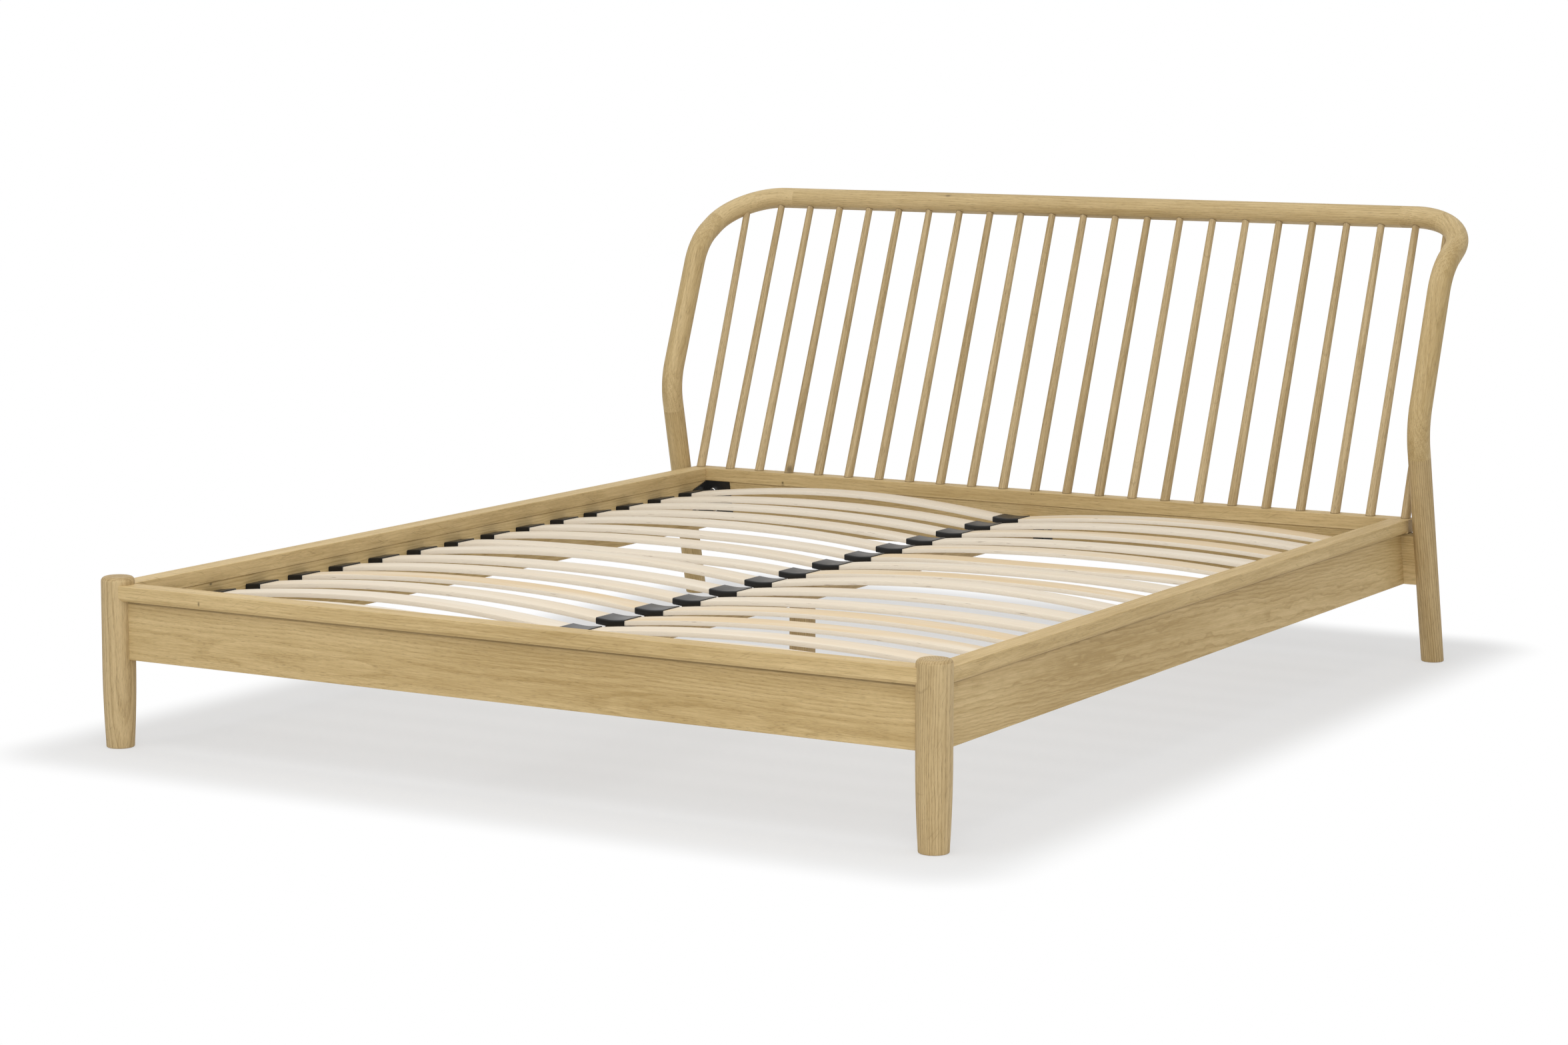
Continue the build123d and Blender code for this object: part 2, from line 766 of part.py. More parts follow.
with BuildPart() as centre_beam:
    with BuildSketch(Plane.YZ):
        Polygon(
            (foot_face_y + joint_gap, beam_bottom),
            (head_face_y(beam_bottom) - joint_gap, beam_bottom),
            (head_face_y(beam_top) - joint_gap, beam_top),
            (foot_face_y + joint_gap, beam_top),
        )
    extrude(amount=beam_width / 2, both=True)
    cut_pins([Plane(origin=(0, y, beam_top), x_dir=(1, 0, 0), z_dir=(0, 0, -1)) for y in slat_ys])
    cut_dowels(centre_leg_dowel)
save(centre_beam, "centre_beam")

with BuildPart() as centre_leg:
    with BuildSketch():
        with Locations((0, centre_leg_y)):
            Rectangle(centre_leg_side, centre_leg_side)
    extrude(amount=beam_bottom)
    cut_dowels(centre_leg_dowel)
save(centre_leg, "centre_leg")

save(group_of(slat_holder(), [(0, y, 0) for y in slat_ys]), "slat_holders_centre")

save(pair_of(hanger(foot_face, 1), hanger(head_face_y, -1)), "beam_hangers")
save(pair_of(front_bracket(-1), front_bracket(1)), "corner_brackets_front")
save(pair_of(rear_bracket(-1), rear_bracket(1)), "corner_brackets_rear")

leg_bolt = fastener(bolt_diameter, leg_bolt_length, bolt_head_diameter, bolt_head_height)
save(group_of(leg_bolt, leg_bolt_seat(-1) + leg_bolt_seat(1)), "leg_bolts")

rail_bolt = fastener(bolt_diameter, rail_bolt_length, bolt_head_diameter, bolt_head_height)
save(group_of(rail_bolt, rail_bolt_seats(-1) + rail_bolt_seats(1)), "head_rail_bolts")

screw = fastener(screw_diameter, screw_length, screw_head_diameter, screw_head_height)
screw_seats = hanger_screws(foot_face, 1) + hanger_screws(head_face_y, -1)
for side in (-1, 1):
    screw_seats += front_screws_on_foot_board(side) + front_screws_on_side_board(side) + rear_screws(side)
save(group_of(screw, screw_seats), "wood_screws")

with BuildPart() as dowel:
    Cylinder(dowel_diameter / 2, dowel_length)
dowel_seats = foot_cap_dowels + head_cap_dowels + centre_leg_dowel
for side in (-1, 1):
    dowel_seats += foot_dowels(side) + side_dowels(side) + side_cap_dowels(side)
    dowel_seats += head_dowels(side) + splice_dowel(side) + top_rail_dowel(side)
save(group_of(dowel, dowel_seats), "dowels")
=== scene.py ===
import copy
import math
import random

import bpy
from mathutils import Matrix, Vector


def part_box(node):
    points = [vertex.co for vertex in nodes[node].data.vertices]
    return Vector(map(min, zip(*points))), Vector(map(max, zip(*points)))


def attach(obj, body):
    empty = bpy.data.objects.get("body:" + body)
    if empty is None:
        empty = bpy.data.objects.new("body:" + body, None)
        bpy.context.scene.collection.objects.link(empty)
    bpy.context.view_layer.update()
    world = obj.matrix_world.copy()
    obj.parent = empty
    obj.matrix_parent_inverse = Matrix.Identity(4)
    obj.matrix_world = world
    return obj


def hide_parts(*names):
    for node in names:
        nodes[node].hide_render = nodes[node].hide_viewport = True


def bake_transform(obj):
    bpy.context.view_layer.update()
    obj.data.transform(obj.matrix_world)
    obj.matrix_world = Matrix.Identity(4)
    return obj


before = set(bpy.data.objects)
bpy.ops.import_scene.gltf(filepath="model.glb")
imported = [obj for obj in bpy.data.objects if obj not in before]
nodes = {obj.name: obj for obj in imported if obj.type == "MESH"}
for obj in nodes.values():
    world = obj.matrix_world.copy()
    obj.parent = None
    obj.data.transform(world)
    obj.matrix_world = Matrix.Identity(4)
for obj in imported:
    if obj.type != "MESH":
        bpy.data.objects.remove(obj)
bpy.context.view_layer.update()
rng = random.Random(7)

# Sizes in metres, as in the solids, apart from the rail's flat and the roundings
HALF_CLEAR = 0.8108
Y_FOOT, Y_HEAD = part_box("foot_rail_cap")[1].y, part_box("head_rail_cap")[0].y
CAP_WIDTH, CAP_TOP, CAP_BOTTOM, CAP_BEVEL = 0.0416, 0.296, 0.268, 0.0055
BOARD_SETBACK, BOARD_THICKNESS, BOARD_BOTTOM = 0.0012, 0.025, 0.161
BOARD_X = HALF_CLEAR + BOARD_SETBACK
LEG_X, LEG_Y, LEG_RADIUS, LEG_HEIGHT = 0.83, Y_FOOT - 0.0192, 0.03, 0.31
LEG_FOOT_RADIUS, LEG_TAPER, LEG_CROWN, FOOT_ROUND, FOOT_SWELL = 0.025, 0.15, 0.0085, 0.0025, 0.0004
RAIL_SEAT = 0.012  # how far the rails go into the legs
EDGE, THIN_EDGE, CAP_END = 0.0016, 0.0005, 0.0006
POST_X, POST_RADIUS = 0.88255, 0.0228
LEG_LEAN, POST_LEAN, CURL_LEAN = (math.radians(a) for a in (12.5, 21.2, 62.0))
LEG_RUN, POST_RUN, CURL_RUN, SPLICE_DROP = 0.4538, 0.2385, 0.0253, 0.0175
KNEE_RADIUS, CURL_RADIUS, BEND_RADIUS, BEND_STUB = 0.15, 0.1315, 0.1254, 0.029
POST_FOOT_Y = Y_HEAD + 0.0145 + CAP_BOTTOM * math.tan(LEG_LEAN)
RAIL_FLAT = math.radians(22)  # half of the flat, seen from the axis, that the spindles enter
SPINDLES, SPINDLE_MARGIN, SPINDLE_SETBACK = 23, 0.044, 0.024
SPINDLE_FOOT, SPINDLE_TOP, SPINDLE_SEAT = 0.01, 0.0075, 0.012
# JOINT_LINE is how far the painted shadow at a spindle's ends reaches out of the cap and the rail
SPINDLE_OFFSET, SPINDLE_END_GAP, JOINT_LINE = 0.004, 0.008, 0.0011
ROWS, SLAT_FIRST, SLAT_LAST = 15, Y_FOOT + 0.0958, Y_HEAD - 0.085
SLAT_INNER, SLAT_OUTER, SLAT_WIDTH, SLAT_THICKNESS = 0.0035, 0.8078, 0.054, 0.0085
SLAT_LOW, SLAT_RISE = 0.241, 0.025
POCKET_DEPTH, POCKET_WALL, SLOT_GAP = 0.033, 0.0022, 0.0004
HOLDER_HALF, HOLDER_WALL, HOLDER_FOOT, HOLDER_VALLEY = 0.03, 0.0014, 0.012, 0.014
POCKET_ROUND, HOLDER_ROUND, HOLDER_FOOT_ROUND, SLOT_ROUND = 0.003, 0.0026, 0.003, 0.0012
POCKET_EASE, HOLDER_EASE, SLOT_STEP, HOLDER_WEB = 0.001, 0.0009, 0.0003, 0.0015
BEAM_HALF, BEAM_BOTTOM, BEAM_TOP = 0.02, 0.195, 0.237
CENTRE_LEG_HALF, CENTRE_LEG_Y = 0.019, (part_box("centre_leg")[0].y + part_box("centre_leg")[1].y) / 2
BEAM_ROUND, CENTRE_LEG_ROUND, CENTRE_LEG_END = 0.002, 0.003, 0.0015
SIDES = (("left", -1), ("right", 1))
X, Y, Z = Vector((1, 0, 0)), Vector((0, 1, 0)), Vector((0, 0, 1))

# Points round a section, and stations along a piece
LEG_POINTS, POST_POINTS, FLAT_POINTS, SPINDLE_POINTS = 64, 40, 5, 24
ARC_STEP, SPINDLE_STATIONS, SLAT_STATIONS = 0.006, 12, 20


# Mesh helpers
class Log:
    """Where a piece lies in the log it was cut from: x runs along the grain, y and z across it."""

    def __init__(self, along, across, tone=0.0, slope=0.0, heart=(0.05, 0.02), start=(0, 0, 0)):
        along = Vector(along).normalized()
        across = Vector(across)
        across = (across - along * across.dot(along)).normalized()
        self.rows = Matrix((along, across, along.cross(across)))
        self.start = Vector(start)
        self.shift = Vector((rng.uniform(0, 40), heart[0], heart[1]))
        self.slope = slope
        self.tone = tone

    def toned(self, change):
        """The same log, lighter or darker."""
        other = copy.copy(self)
        other.tone += change
        return other

    def place(self, point):
        p = self.rows @ (Vector(point) - self.start)
        return (p.x + self.shift.x, p.y + self.shift.y + self.slope * p.x, p.z + self.shift.z)


class Shape:
    """Closed shells of one piece, with the grain and tone of each face corner."""

    def __init__(self):
        self.verts, self.faces, self.grain, self.tone = [], [], [], []

    def loft(self, rings, logs):
        """Join rings of points into a shell and close its ends. logs is a Log, or gives one for each face."""
        stretches = len(rings) - 1
        log_at = logs if callable(logs) else lambda stretch, column: logs
        first, count = len(self.verts), len(rings[0])
        for ring in rings:
            self.verts += [Vector(p) for p in ring]
        faces = [(list(range(first + count - 1, first - 1, -1)), log_at(0, 0))]
        for i in range(stretches):
            a, b = first + i * count, first + (i + 1) * count
            for j in range(count):
                k = (j + 1) % count
                faces.append(([a + j, a + k, b + k, b + j], log_at(i, j)))
        last = first + stretches * count
        faces.append((list(range(last, last + count)), log_at(stretches - 1, 0)))
        centre = sum((self.verts[i] for i in range(first, last + count)), Vector()) / (len(rings) * count)
        volume = 0.0
        for face, _ in faces:
            a = self.verts[face[0]] - centre
            for i in range(1, len(face) - 1):
                volume += a.dot((self.verts[face[i]] - centre).cross(self.verts[face[i + 1]] - centre))
        for face, log in faces:
            face = face if volume > 0 else face[::-1]
            self.faces.append(face)
            for i in face:
                self.grain.append(log.place(self.verts[i]))
                self.tone.append(log.tone)

    def build(self, name, material, slot, node, sharp=38, weighted=False):
        mesh = bpy.data.meshes.new(name)
        mesh.from_pydata(self.verts, [], self.faces)
        grain = mesh.attributes.new("grain", "FLOAT_VECTOR", "CORNER")
        grain.data.foreach_set("vector", [v for p in self.grain for v in p])
        tone = mesh.attributes.new("tone", "FLOAT", "CORNER")
        tone.data.foreach_set("value", self.tone)
        mesh.polygons.foreach_set("use_smooth", [True] * len(mesh.polygons))
        mesh.set_sharp_from_angle(angle=math.radians(sharp))
        mesh.materials.append(material)
        mesh.update()
        piece = bpy.data.objects.new(name, mesh)
        bpy.context.scene.collection.objects.link(piece)
        if weighted:
            normals = piece.modifiers.new("face_normals", "WEIGHTED_NORMAL")
            normals.keep_sharp = True
        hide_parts(node)
        return piece


def inset(corners, depth):
    """A convex outline moved inwards by a depth."""
    lines = []
    count = len(corners)
    for i in range(count):
        a, b = Vector(corners[i]), Vector(corners[(i + 1) % count])
        way = (b - a).normalized()
        lines.append((a + Vector((-way.y, way.x)) * depth, way))
    out = []
    for i in range(count):
        (p, d), (q, e) = lines[i - 1], lines[i]
        cross = d.x * e.y - d.y * e.x
        t = ((q - p).x * e.y - (q - p).y * e.x) / cross
        out.append(p + d * t)
    return out


def rounded(corners, radius, steps=4):
    """A convex outline, counterclockwise, with each corner drawn as an arc."""
    count = len(corners)
    out = []
    for i in range(count):
        p = Vector(corners[i])
        back = (Vector(corners[i - 1]) - p).normalized()
        ahead = (Vector(corners[(i + 1) % count]) - p).normalized()
        half = back.angle(ahead) / 2
        centre = p + (back + ahead).normalized() * (radius / math.sin(half))
        turn = math.pi - 2 * half
        begin = math.atan2(back.x, -back.y)
        for k in range(steps + 1):
            a = begin + turn * k / steps
            out.append(centre + Vector((math.cos(a), math.sin(a))) * radius)
    return out


def quarter(steps):
    """Angles of a quarter turn."""
    return [math.pi / 2 * k / steps for k in range(steps + 1)]


def bar(shape, corners, radius, start, end, to_world, log, end_radius=0.001):
    """A bar of a rounded section, with eased ends, from start to end along its length."""
    least_radius = 0.0002
    turns = quarter(3)
    stations = [(start + end_radius * (1 - math.cos(a)), a) for a in turns]
    stations += [(end - end_radius * (1 - math.cos(a)), a) for a in reversed(turns)]
    loops = []
    for s, a in stations:
        depth = end_radius * (1 - math.sin(a))
        shrunk = rounded(inset(corners, depth), max(radius - depth, least_radius))
        loops.append([to_world(p, s) for p in shrunk])
    shape.loft(loops, log)


def circle(centre, across, other, radius, count):
    """Points round a centre, in the plane of two directions."""
    steps = [2 * math.pi * j / count for j in range(count)]
    return [centre + (across * math.cos(a) + other * math.sin(a)) * radius for a in steps]


# Materials
class Nodes:
    """A material's node tree, with short names for the nodes that are used often."""

    def __init__(self, name, **surface):
        self.material = bpy.data.materials.new(name)
        self.material.use_nodes = True
        self.tree = self.material.node_tree
        self.surface = self.tree.nodes["Principled BSDF"]
        for socket, value in surface.items():
            self.surface.inputs[socket.replace("_", " ")].default_value = value

    def add(self, kind, **settings):
        node = self.tree.nodes.new("ShaderNode" + kind)
        for key, value in settings.items():
            setattr(node, key, value)
        return node

    def put(self, socket, value):
        if isinstance(value, bpy.types.NodeSocket):
            self.tree.links.new(value, socket)
        else:
            socket.default_value = value

    def attribute(self, name, output):
        return self.add("Attribute", attribute_name=name).outputs[output]

    def object_place(self):
        return self.add("TexCoord").outputs["Object"]

    def math(self, operation, *values, clamp=False):
        node = self.add("Math", operation=operation, use_clamp=clamp)
        for socket, value in zip(node.inputs, values):
            self.put(socket, value)
        return node.outputs[0]

    def vector(self, operation, a, b):
        node = self.add("VectorMath", operation=operation)
        self.put(node.inputs[0], a)
        self.put(node.inputs[1], b)
        return node.outputs[1] if operation == "LENGTH" else node.outputs[0]

    def noise(self, place, scale, detail, rough, output="Fac"):
        node = self.add("TexNoise")
        self.put(node.inputs["Vector"], self.vector("MULTIPLY", place, scale))
        node.inputs["Scale"].default_value = 1.0
        node.inputs["Detail"].default_value = detail
        node.inputs["Roughness"].default_value = rough
        return node.outputs[output]

    def ramp(self, value, *stops, smooth=False):
        node = self.add("ValToRGB")
        self.put(node.inputs[0], value)
        if smooth:
            node.color_ramp.interpolation = "EASE"
        points = node.color_ramp.elements
        while len(points) < len(stops):
            points.new(0.5)
        for point, (at, colour) in zip(points, stops):
            point.position = at
            point.color = (*colour, 1) if isinstance(colour, tuple) else (colour, colour, colour, 1)
        return node.outputs[0]

    def mix(self, share, a, b):
        node = self.add("Mix", data_type="RGBA")
        self.put(node.inputs[0], share)
        for socket, colour in ((node.inputs[6], a), (node.inputs[7], b)):
            self.put(socket, (*colour, 1) if isinstance(colour, tuple) else colour)
        return node.outputs[2]

    def bump(self, height, strength, distance):
        node = self.add("Bump")
        node.inputs["Strength"].default_value = strength
        node.inputs["Distance"].default_value = distance
        self.put(node.inputs["Height"], height)
        self.put(self.surface.inputs["Normal"], node.outputs[0])

    def colour(self, value):
        self.put(self.surface.inputs["Base Color"], value)

    def roughness(self, value, low, high):
        node = self.add("MapRange")
        self.put(node.inputs["Value"], value)
        node.inputs["To Min"].default_value = low
        node.inputs["To Max"].default_value = high
        self.put(self.surface.inputs["Roughness"], node.outputs[0])


# Materials: oak
RING_WIDTH = 0.0042
RAY_SLANT = math.radians(24)
JOINT_TONE = 0.8  # a tone above this is the shadow in a joint
OAK_LIGHT, OAK_DARK = (0.648, 0.483, 0.240), (0.425, 0.290, 0.112)
# Knots on the pieces of each kind: centre, half the size each way, and strength
KNOTS = {
    "rail": (
        ((-0.332, 1.0985, 0.9085), (0.006, 0.012, 0.0022), 0.7),
        ((-0.332, 1.0985, 0.9085), (0.03, 0.012, 0.0011), 0.4),
    ),
    "side": (((-0.812, -0.876, 0.2650), (0.006, 0.0042, 0.0024), 0.9),),
    "cap": (
        ((-0.6114, 0.8578, 0.2755), (0.0024, 0.006, 0.0024), 0.9),
        ((-0.6105, 0.8578, 0.2700), (0.004, 0.006, 0.0022), 0.45),
        ((0.0042, 0.8578, 0.2917), (0.0011, 0.006, 0.0011), 0.8),
        ((0.0088, 0.8578, 0.2917), (0.0011, 0.006, 0.0010), 0.7),
        ((-0.627, -1.1356, 0.2783), (0.0017, 0.006, 0.0032), 0.7),
    ),
    "spindle": (((-0.6045, 0.874, 0.305), (0.0075, 0.008, 0.011), 0.8),),
}


def shaded(colour, share):
    return tuple(c * share for c in colour)


def oak_material(name, light, dark, rings=0.2, pores=0.55, streaks=0.8, clouds=1.1, waves=0.0022, rays=0.0,
                 seam=False, knots=()):
    """Oiled oak: growth rings round the log's heart, rows of pores, fibres, streaks and clouds of colour.

    rays are slanting flecks, and seam paints the shadow that the cap's overhang casts on a board's outer face
    just under it.
    """
    n = Nodes(name, Specular_IOR_Level=0.35)
    grain = n.attribute("grain", "Vector")
    tone = n.attribute("tone", "Fac")
    wander = n.vector("SUBTRACT", n.noise(grain, (1.6, 7, 7), 2, 0.5, "Color"), (0.5, 0.5, 0.5))
    ripple = n.vector("SUBTRACT", n.noise(grain, (22, 60, 60), 1, 0.5, "Color"), (0.5, 0.5, 0.5))
    place = n.vector("ADD", grain, n.vector("MULTIPLY", wander, (0, 0.03, 0.03)))
    place = n.vector("ADD", place, n.vector("MULTIPLY", ripple, (0, waves, waves)))
    radius = n.vector("LENGTH", n.vector("MULTIPLY", place, (0, 1, 1)), (0, 0, 0))
    phase = n.math("FRACT", n.math("DIVIDE", radius, RING_WIDTH))
    ring = n.ramp(phase, (0.0, 0.25), (0.10, 1.0), (0.30, 0.55), (0.62, 0.05), (0.95, 0.0), (1.0, 0.25))
    pore = n.ramp(n.noise(grain, (70, 1000, 1000), 2, 0.6), (0.51, 0.0), (0.66, 1.0))
    pore = n.math("MULTIPLY", pore, n.math("MULTIPLY_ADD", ring, 0.6, 0.4))
    fibre = n.noise(grain, (18, 560, 560), 2, 0.6)
    streak = n.noise(grain, (5, 170, 170), 3, 0.6)
    band = n.noise(grain, (2.2, 36, 36), 2, 0.5)
    cloud = n.noise(grain, (1.3, 9, 9), 2, 0.5)
    shade = n.math("MULTIPLY", ring, rings)
    for noise, share in ((fibre, 1.35), (streak, streaks), (band, 1.0), (cloud, clouds)):
        shade = n.math("ADD", shade, n.math("MULTIPLY", n.math("SUBTRACT", noise, 0.5), share))
    shade = n.math("ADD", shade, n.math("MULTIPLY", tone, 0.5))
    shade = n.math("ADD", shade, 0.36, clamp=True)
    colour = n.mix(shade, light, dark)
    if rays:
        turned = n.add("VectorRotate", rotation_type="Y_AXIS")
        n.put(turned.inputs["Vector"], grain)
        turned.inputs["Angle"].default_value = RAY_SLANT
        fleck = n.ramp(n.noise(turned.outputs[0], (20, 40, 300), 2, 0.5), (0.64, 0.0), (0.74, 1.0))
        colour = n.mix(n.math("MULTIPLY", fleck, rays), colour, shaded(dark, 0.7))
    colour = n.mix(n.math("MULTIPLY", pore, pores), colour, shaded(dark, 0.5))
    colour = n.mix(n.math("SUBTRACT", tone, JOINT_TONE, clamp=True), colour, shaded(dark, 0.3))
    for centre, half, strength in knots:
        off = n.vector("DIVIDE", n.vector("SUBTRACT", n.object_place(), centre), half)
        away = n.vector("LENGTH", off, (0, 0, 0))
        ragged = n.math("MULTIPLY_ADD", n.math("SUBTRACT", band, 0.5), 1.6, away)
        spot = n.ramp(n.math("MULTIPLY", ragged, 0.5, clamp=True),
                      (0.0, 1.0), (0.24, 0.9), (0.46, 0.6), (0.62, 0.2), (1.0, 0.0))
        colour = n.mix(n.math("MULTIPLY", spot, strength), colour, shaded(dark, 0.22))
    # painted shadow: the board's outer face darkened just under the cap's overhang
    if seam:
        spot = n.add("SeparateXYZ")
        n.put(spot.inputs[0], n.object_place())
        under = n.math("SUBTRACT", CAP_BOTTOM, spot.outputs["Z"])
        shadow = n.ramp(n.math("MULTIPLY", under, 100.0, clamp=True), (0.34, 0.55), (0.62, 0.0))
        aside = n.math("ABSOLUTE", spot.outputs["X"])
        beside = n.math("GREATER_THAN", aside, BOARD_X + BOARD_THICKNESS / 2)
        before = n.math("LESS_THAN", spot.outputs["Y"], Y_FOOT - BOARD_SETBACK - BOARD_THICKNESS / 2)
        shadow = n.math("MULTIPLY", shadow, n.math("MAXIMUM", beside, before))
        colour = n.mix(shadow, colour, shaded(dark, 0.3))
    n.colour(colour)
    n.roughness(streak, 0.50, 0.66)
    n.bump(n.math("SUBTRACT", n.math("MULTIPLY", fibre, 0.4), pore), 0.22, 0.0006)
    return n.material


oak = oak_material("oak", (0.638, 0.486, 0.254), (0.416, 0.291, 0.121), knots=KNOTS["rail"])
# seam=True paints the cap's shadow on these boards
oak_board = oak_material("oak_board", OAK_LIGHT, OAK_DARK, rings=0.28, seam=True)
oak_side = oak_material("oak_side", OAK_LIGHT, OAK_DARK, rings=0.42, pores=0.3, waves=0.005, seam=True,
                        knots=KNOTS["side"])
oak_cap = oak_material("oak_cap", OAK_LIGHT, OAK_DARK, pores=0.4, rays=0.4, knots=KNOTS["cap"])
oak_leg = oak_material("oak_leg", (0.578, 0.433, 0.226), (0.36, 0.246, 0.104), rings=0.5, streaks=0.7,
                       rays=0.3)
oak_spindle = oak_material("oak_spindle", (0.572, 0.436, 0.241), (0.374, 0.262, 0.119), rings=0.4, pores=0.65,
                           clouds=1.9, waves=0.0005, rays=0.3, knots=KNOTS["spindle"])
oak_beam = oak_material("oak_beam", (0.60, 0.455, 0.25), (0.38, 0.26, 0.12))


# Materials: slats and fittings
PLIES_PER_METRE = 353.0


def slat_material():
    """Pale veneer glued in layers: faint lines along the slat, the layers' edges on its sides, and painted
    light that makes the sides paler.
    """
    n = Nodes("birch", Specular_IOR_Level=0.3)
    grain = n.attribute("grain", "Vector")
    tone = n.attribute("tone", "Fac")
    side = n.attribute("edge", "Fac")
    top = n.math("SUBTRACT", 1.0, side)
    fine = n.noise(grain, (6, 240, 60), 3, 0.6)
    band = n.noise(grain, (1.6, 40, 20), 2, 0.5)
    colour = n.mix(band, (0.838, 0.772, 0.662), (0.748, 0.636, 0.482))
    patch = n.ramp(n.noise(grain, (2.2, 14, 0), 2, 0.5), (0.30, 0.0), (0.54, 1.0))
    waves = n.noise(grain, (3, 90, 0), 3, 0.6)
    peach = n.mix(waves, (0.77, 0.61, 0.38), (0.66, 0.47, 0.25))
    colour = n.mix(n.math("MULTIPLY", n.math("MULTIPLY", patch, tone), top), colour, peach)
    lines = n.ramp(fine, (0.48, 0.0), (0.78, 1.0))
    colour = n.mix(n.math("MULTIPLY", lines, 0.26), colour, (0.56, 0.45, 0.33))
    # painted light: the sides made paler, against the shade they get between the slats
    colour = n.mix(n.math("MULTIPLY", side, 0.7), colour, (0.93, 0.845, 0.705))
    depth = n.add("SeparateXYZ")
    n.put(depth.inputs[0], grain)
    layer = n.math("FRACT", n.math("MULTIPLY", depth.outputs["Z"], PLIES_PER_METRE))
    ply = n.ramp(layer, (0.0, 0.9), (0.10, 0.1), (0.48, 0.0), (0.54, 0.55), (0.94, 0.45), (1.0, 0.9))
    colour = n.mix(n.math("MULTIPLY", n.math("MULTIPLY", ply, side), 0.28), colour, (0.50, 0.39, 0.30))
    flecks = n.ramp(n.noise(grain, (24, 60, 700), 2, 0.55), (0.685, 0.0), (0.75, 1.0))
    colour = n.mix(n.math("MULTIPLY", n.math("MULTIPLY", flecks, side), 0.75), colour, (0.22, 0.13, 0.08))
    n.colour(colour)
    n.roughness(fine, 0.5, 0.65)
    n.bump(n.math("SUBTRACT", fine, n.math("MULTIPLY", flecks, side)), 0.15, 0.0003)
    return n.material


def speckled(name, colour, other, scale, low, high, strength, **surface):
    """A moulded, coated or plated surface: a fine texture, and patches that catch the light differently."""
    n = Nodes(name, **surface)
    place = n.object_place()
    fine = n.noise(place, (scale,) * 3, 3, 0.6)
    patch = n.noise(place, (scale / 30,) * 3, 2, 0.5)
    n.colour(n.mix(fine, colour, other))
    n.roughness(patch, low, high)
    n.bump(fine, strength, 0.0003)
    return n.material


birch = slat_material()
plastic = speckled("plastic", (0.008, 0.0079, 0.0076), (0.016, 0.0157, 0.015), 900, 0.26, 0.42, 0.2,
                   Specular_IOR_Level=0.25)
black_steel = speckled("black_steel", (0.008, 0.008, 0.008), (0.02, 0.02, 0.0195), 1400, 0.22, 0.36, 0.2)
bolt_steel = speckled("bolt", (0.62, 0.62, 0.61), (0.46, 0.46, 0.455), 800, 0.18, 0.34, 0.08, Metallic=1.0)
screw_steel = speckled("screw", (0.50, 0.47, 0.40), (0.36, 0.33, 0.27), 1200, 0.28, 0.45, 0.1, Metallic=1.0)
beech = speckled("dowel", (0.66, 0.50, 0.31), (0.52, 0.37, 0.20), 400, 0.55, 0.7, 0.2)

for node_name, material in (
    ("beam_hangers", black_steel),
    ("corner_brackets_front", black_steel),
    ("corner_brackets_rear", black_steel),
    ("leg_bolts", bolt_steel),
    ("head_rail_bolts", bolt_steel),
    ("wood_screws", screw_steel),
    ("dowels", beech),
):
    materials = nodes[node_name].data.materials
    materials.clear()
    materials.append(material)


# Front legs, turned
CROWN_STRETCHES, END_GRAIN = 9, 0.5  # rings of faces at the top that show end grain, and how dark it is
PAINTED_LEG_LIGHT = {-1: (math.radians(-60), 0.4), 1: (math.radians(15), 0.6)}  # painted light: which way the paler side of each front leg faces, and how pale


def front_leg(name, side):
    axis = Vector((side * LEG_X, LEG_Y, 0))
    profile = [(LEG_FOOT_RADIUS * k, 0.0) for k in (0.25, 0.6, 0.8)]
    for a in quarter(4):
        r = LEG_FOOT_RADIUS + FOOT_SWELL - FOOT_ROUND * (1 - math.sin(a))
        profile.append((r, FOOT_ROUND * (1 - math.cos(a))))
    taper_steps = 12
    for k in range(1, taper_steps + 1):
        z = FOOT_ROUND + (LEG_TAPER - FOOT_ROUND) * k / taper_steps
        t = 1 - z / LEG_TAPER
        profile.append((LEG_RADIUS - (LEG_RADIUS - LEG_FOOT_RADIUS) * t * t, z))
    profile += [(LEG_RADIUS, z) for z in (0.2, 0.25, LEG_HEIGHT - LEG_CROWN - 0.004)]
    for a in quarter(8):
        r = LEG_RADIUS - LEG_CROWN * (1 - math.cos(a))
        profile.append((r, LEG_HEIGHT - LEG_CROWN * (1 - math.sin(a))))
    profile += [(LEG_RADIUS * k, LEG_HEIGHT) for k in (0.6, 0.4, 0.2)]
    rings = [circle(axis + Z * z, X, Y, r, LEG_POINTS) for r, z in profile]
    shape = Shape()
    heart = (0.035, 0.045) if side > 0 else (0.06, -0.02)
    log = Log((0.02 * side, 0.01, 1), (1, -0.4, 0), tone=0.1 + 0.1 * side, heart=heart, start=axis)
    facing, pale = PAINTED_LEG_LIGHT[side]
    angles = [2 * math.pi * (j + 0.5) / LEG_POINTS for j in range(LEG_POINTS)]
    # painted light: each leg made paler towards one side
    logs = [log.toned(-pale * max(0.0, math.cos(a - facing)) ** 2) for a in angles]
    end_grain = log.toned(END_GRAIN)
    crown = len(rings) - 1 - CROWN_STRETCHES
    shape.loft(rings, lambda stretch, column: end_grain if stretch >= crown else logs[column])
    piece = shape.build(f"front_leg_{name}_turned", oak_leg, "oak", f"front_leg_{name}")
    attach(piece, "frame")


# Headboard line: straight runs joined by arcs
def lean(angle):
    return Vector((0, math.sin(angle), math.cos(angle)))


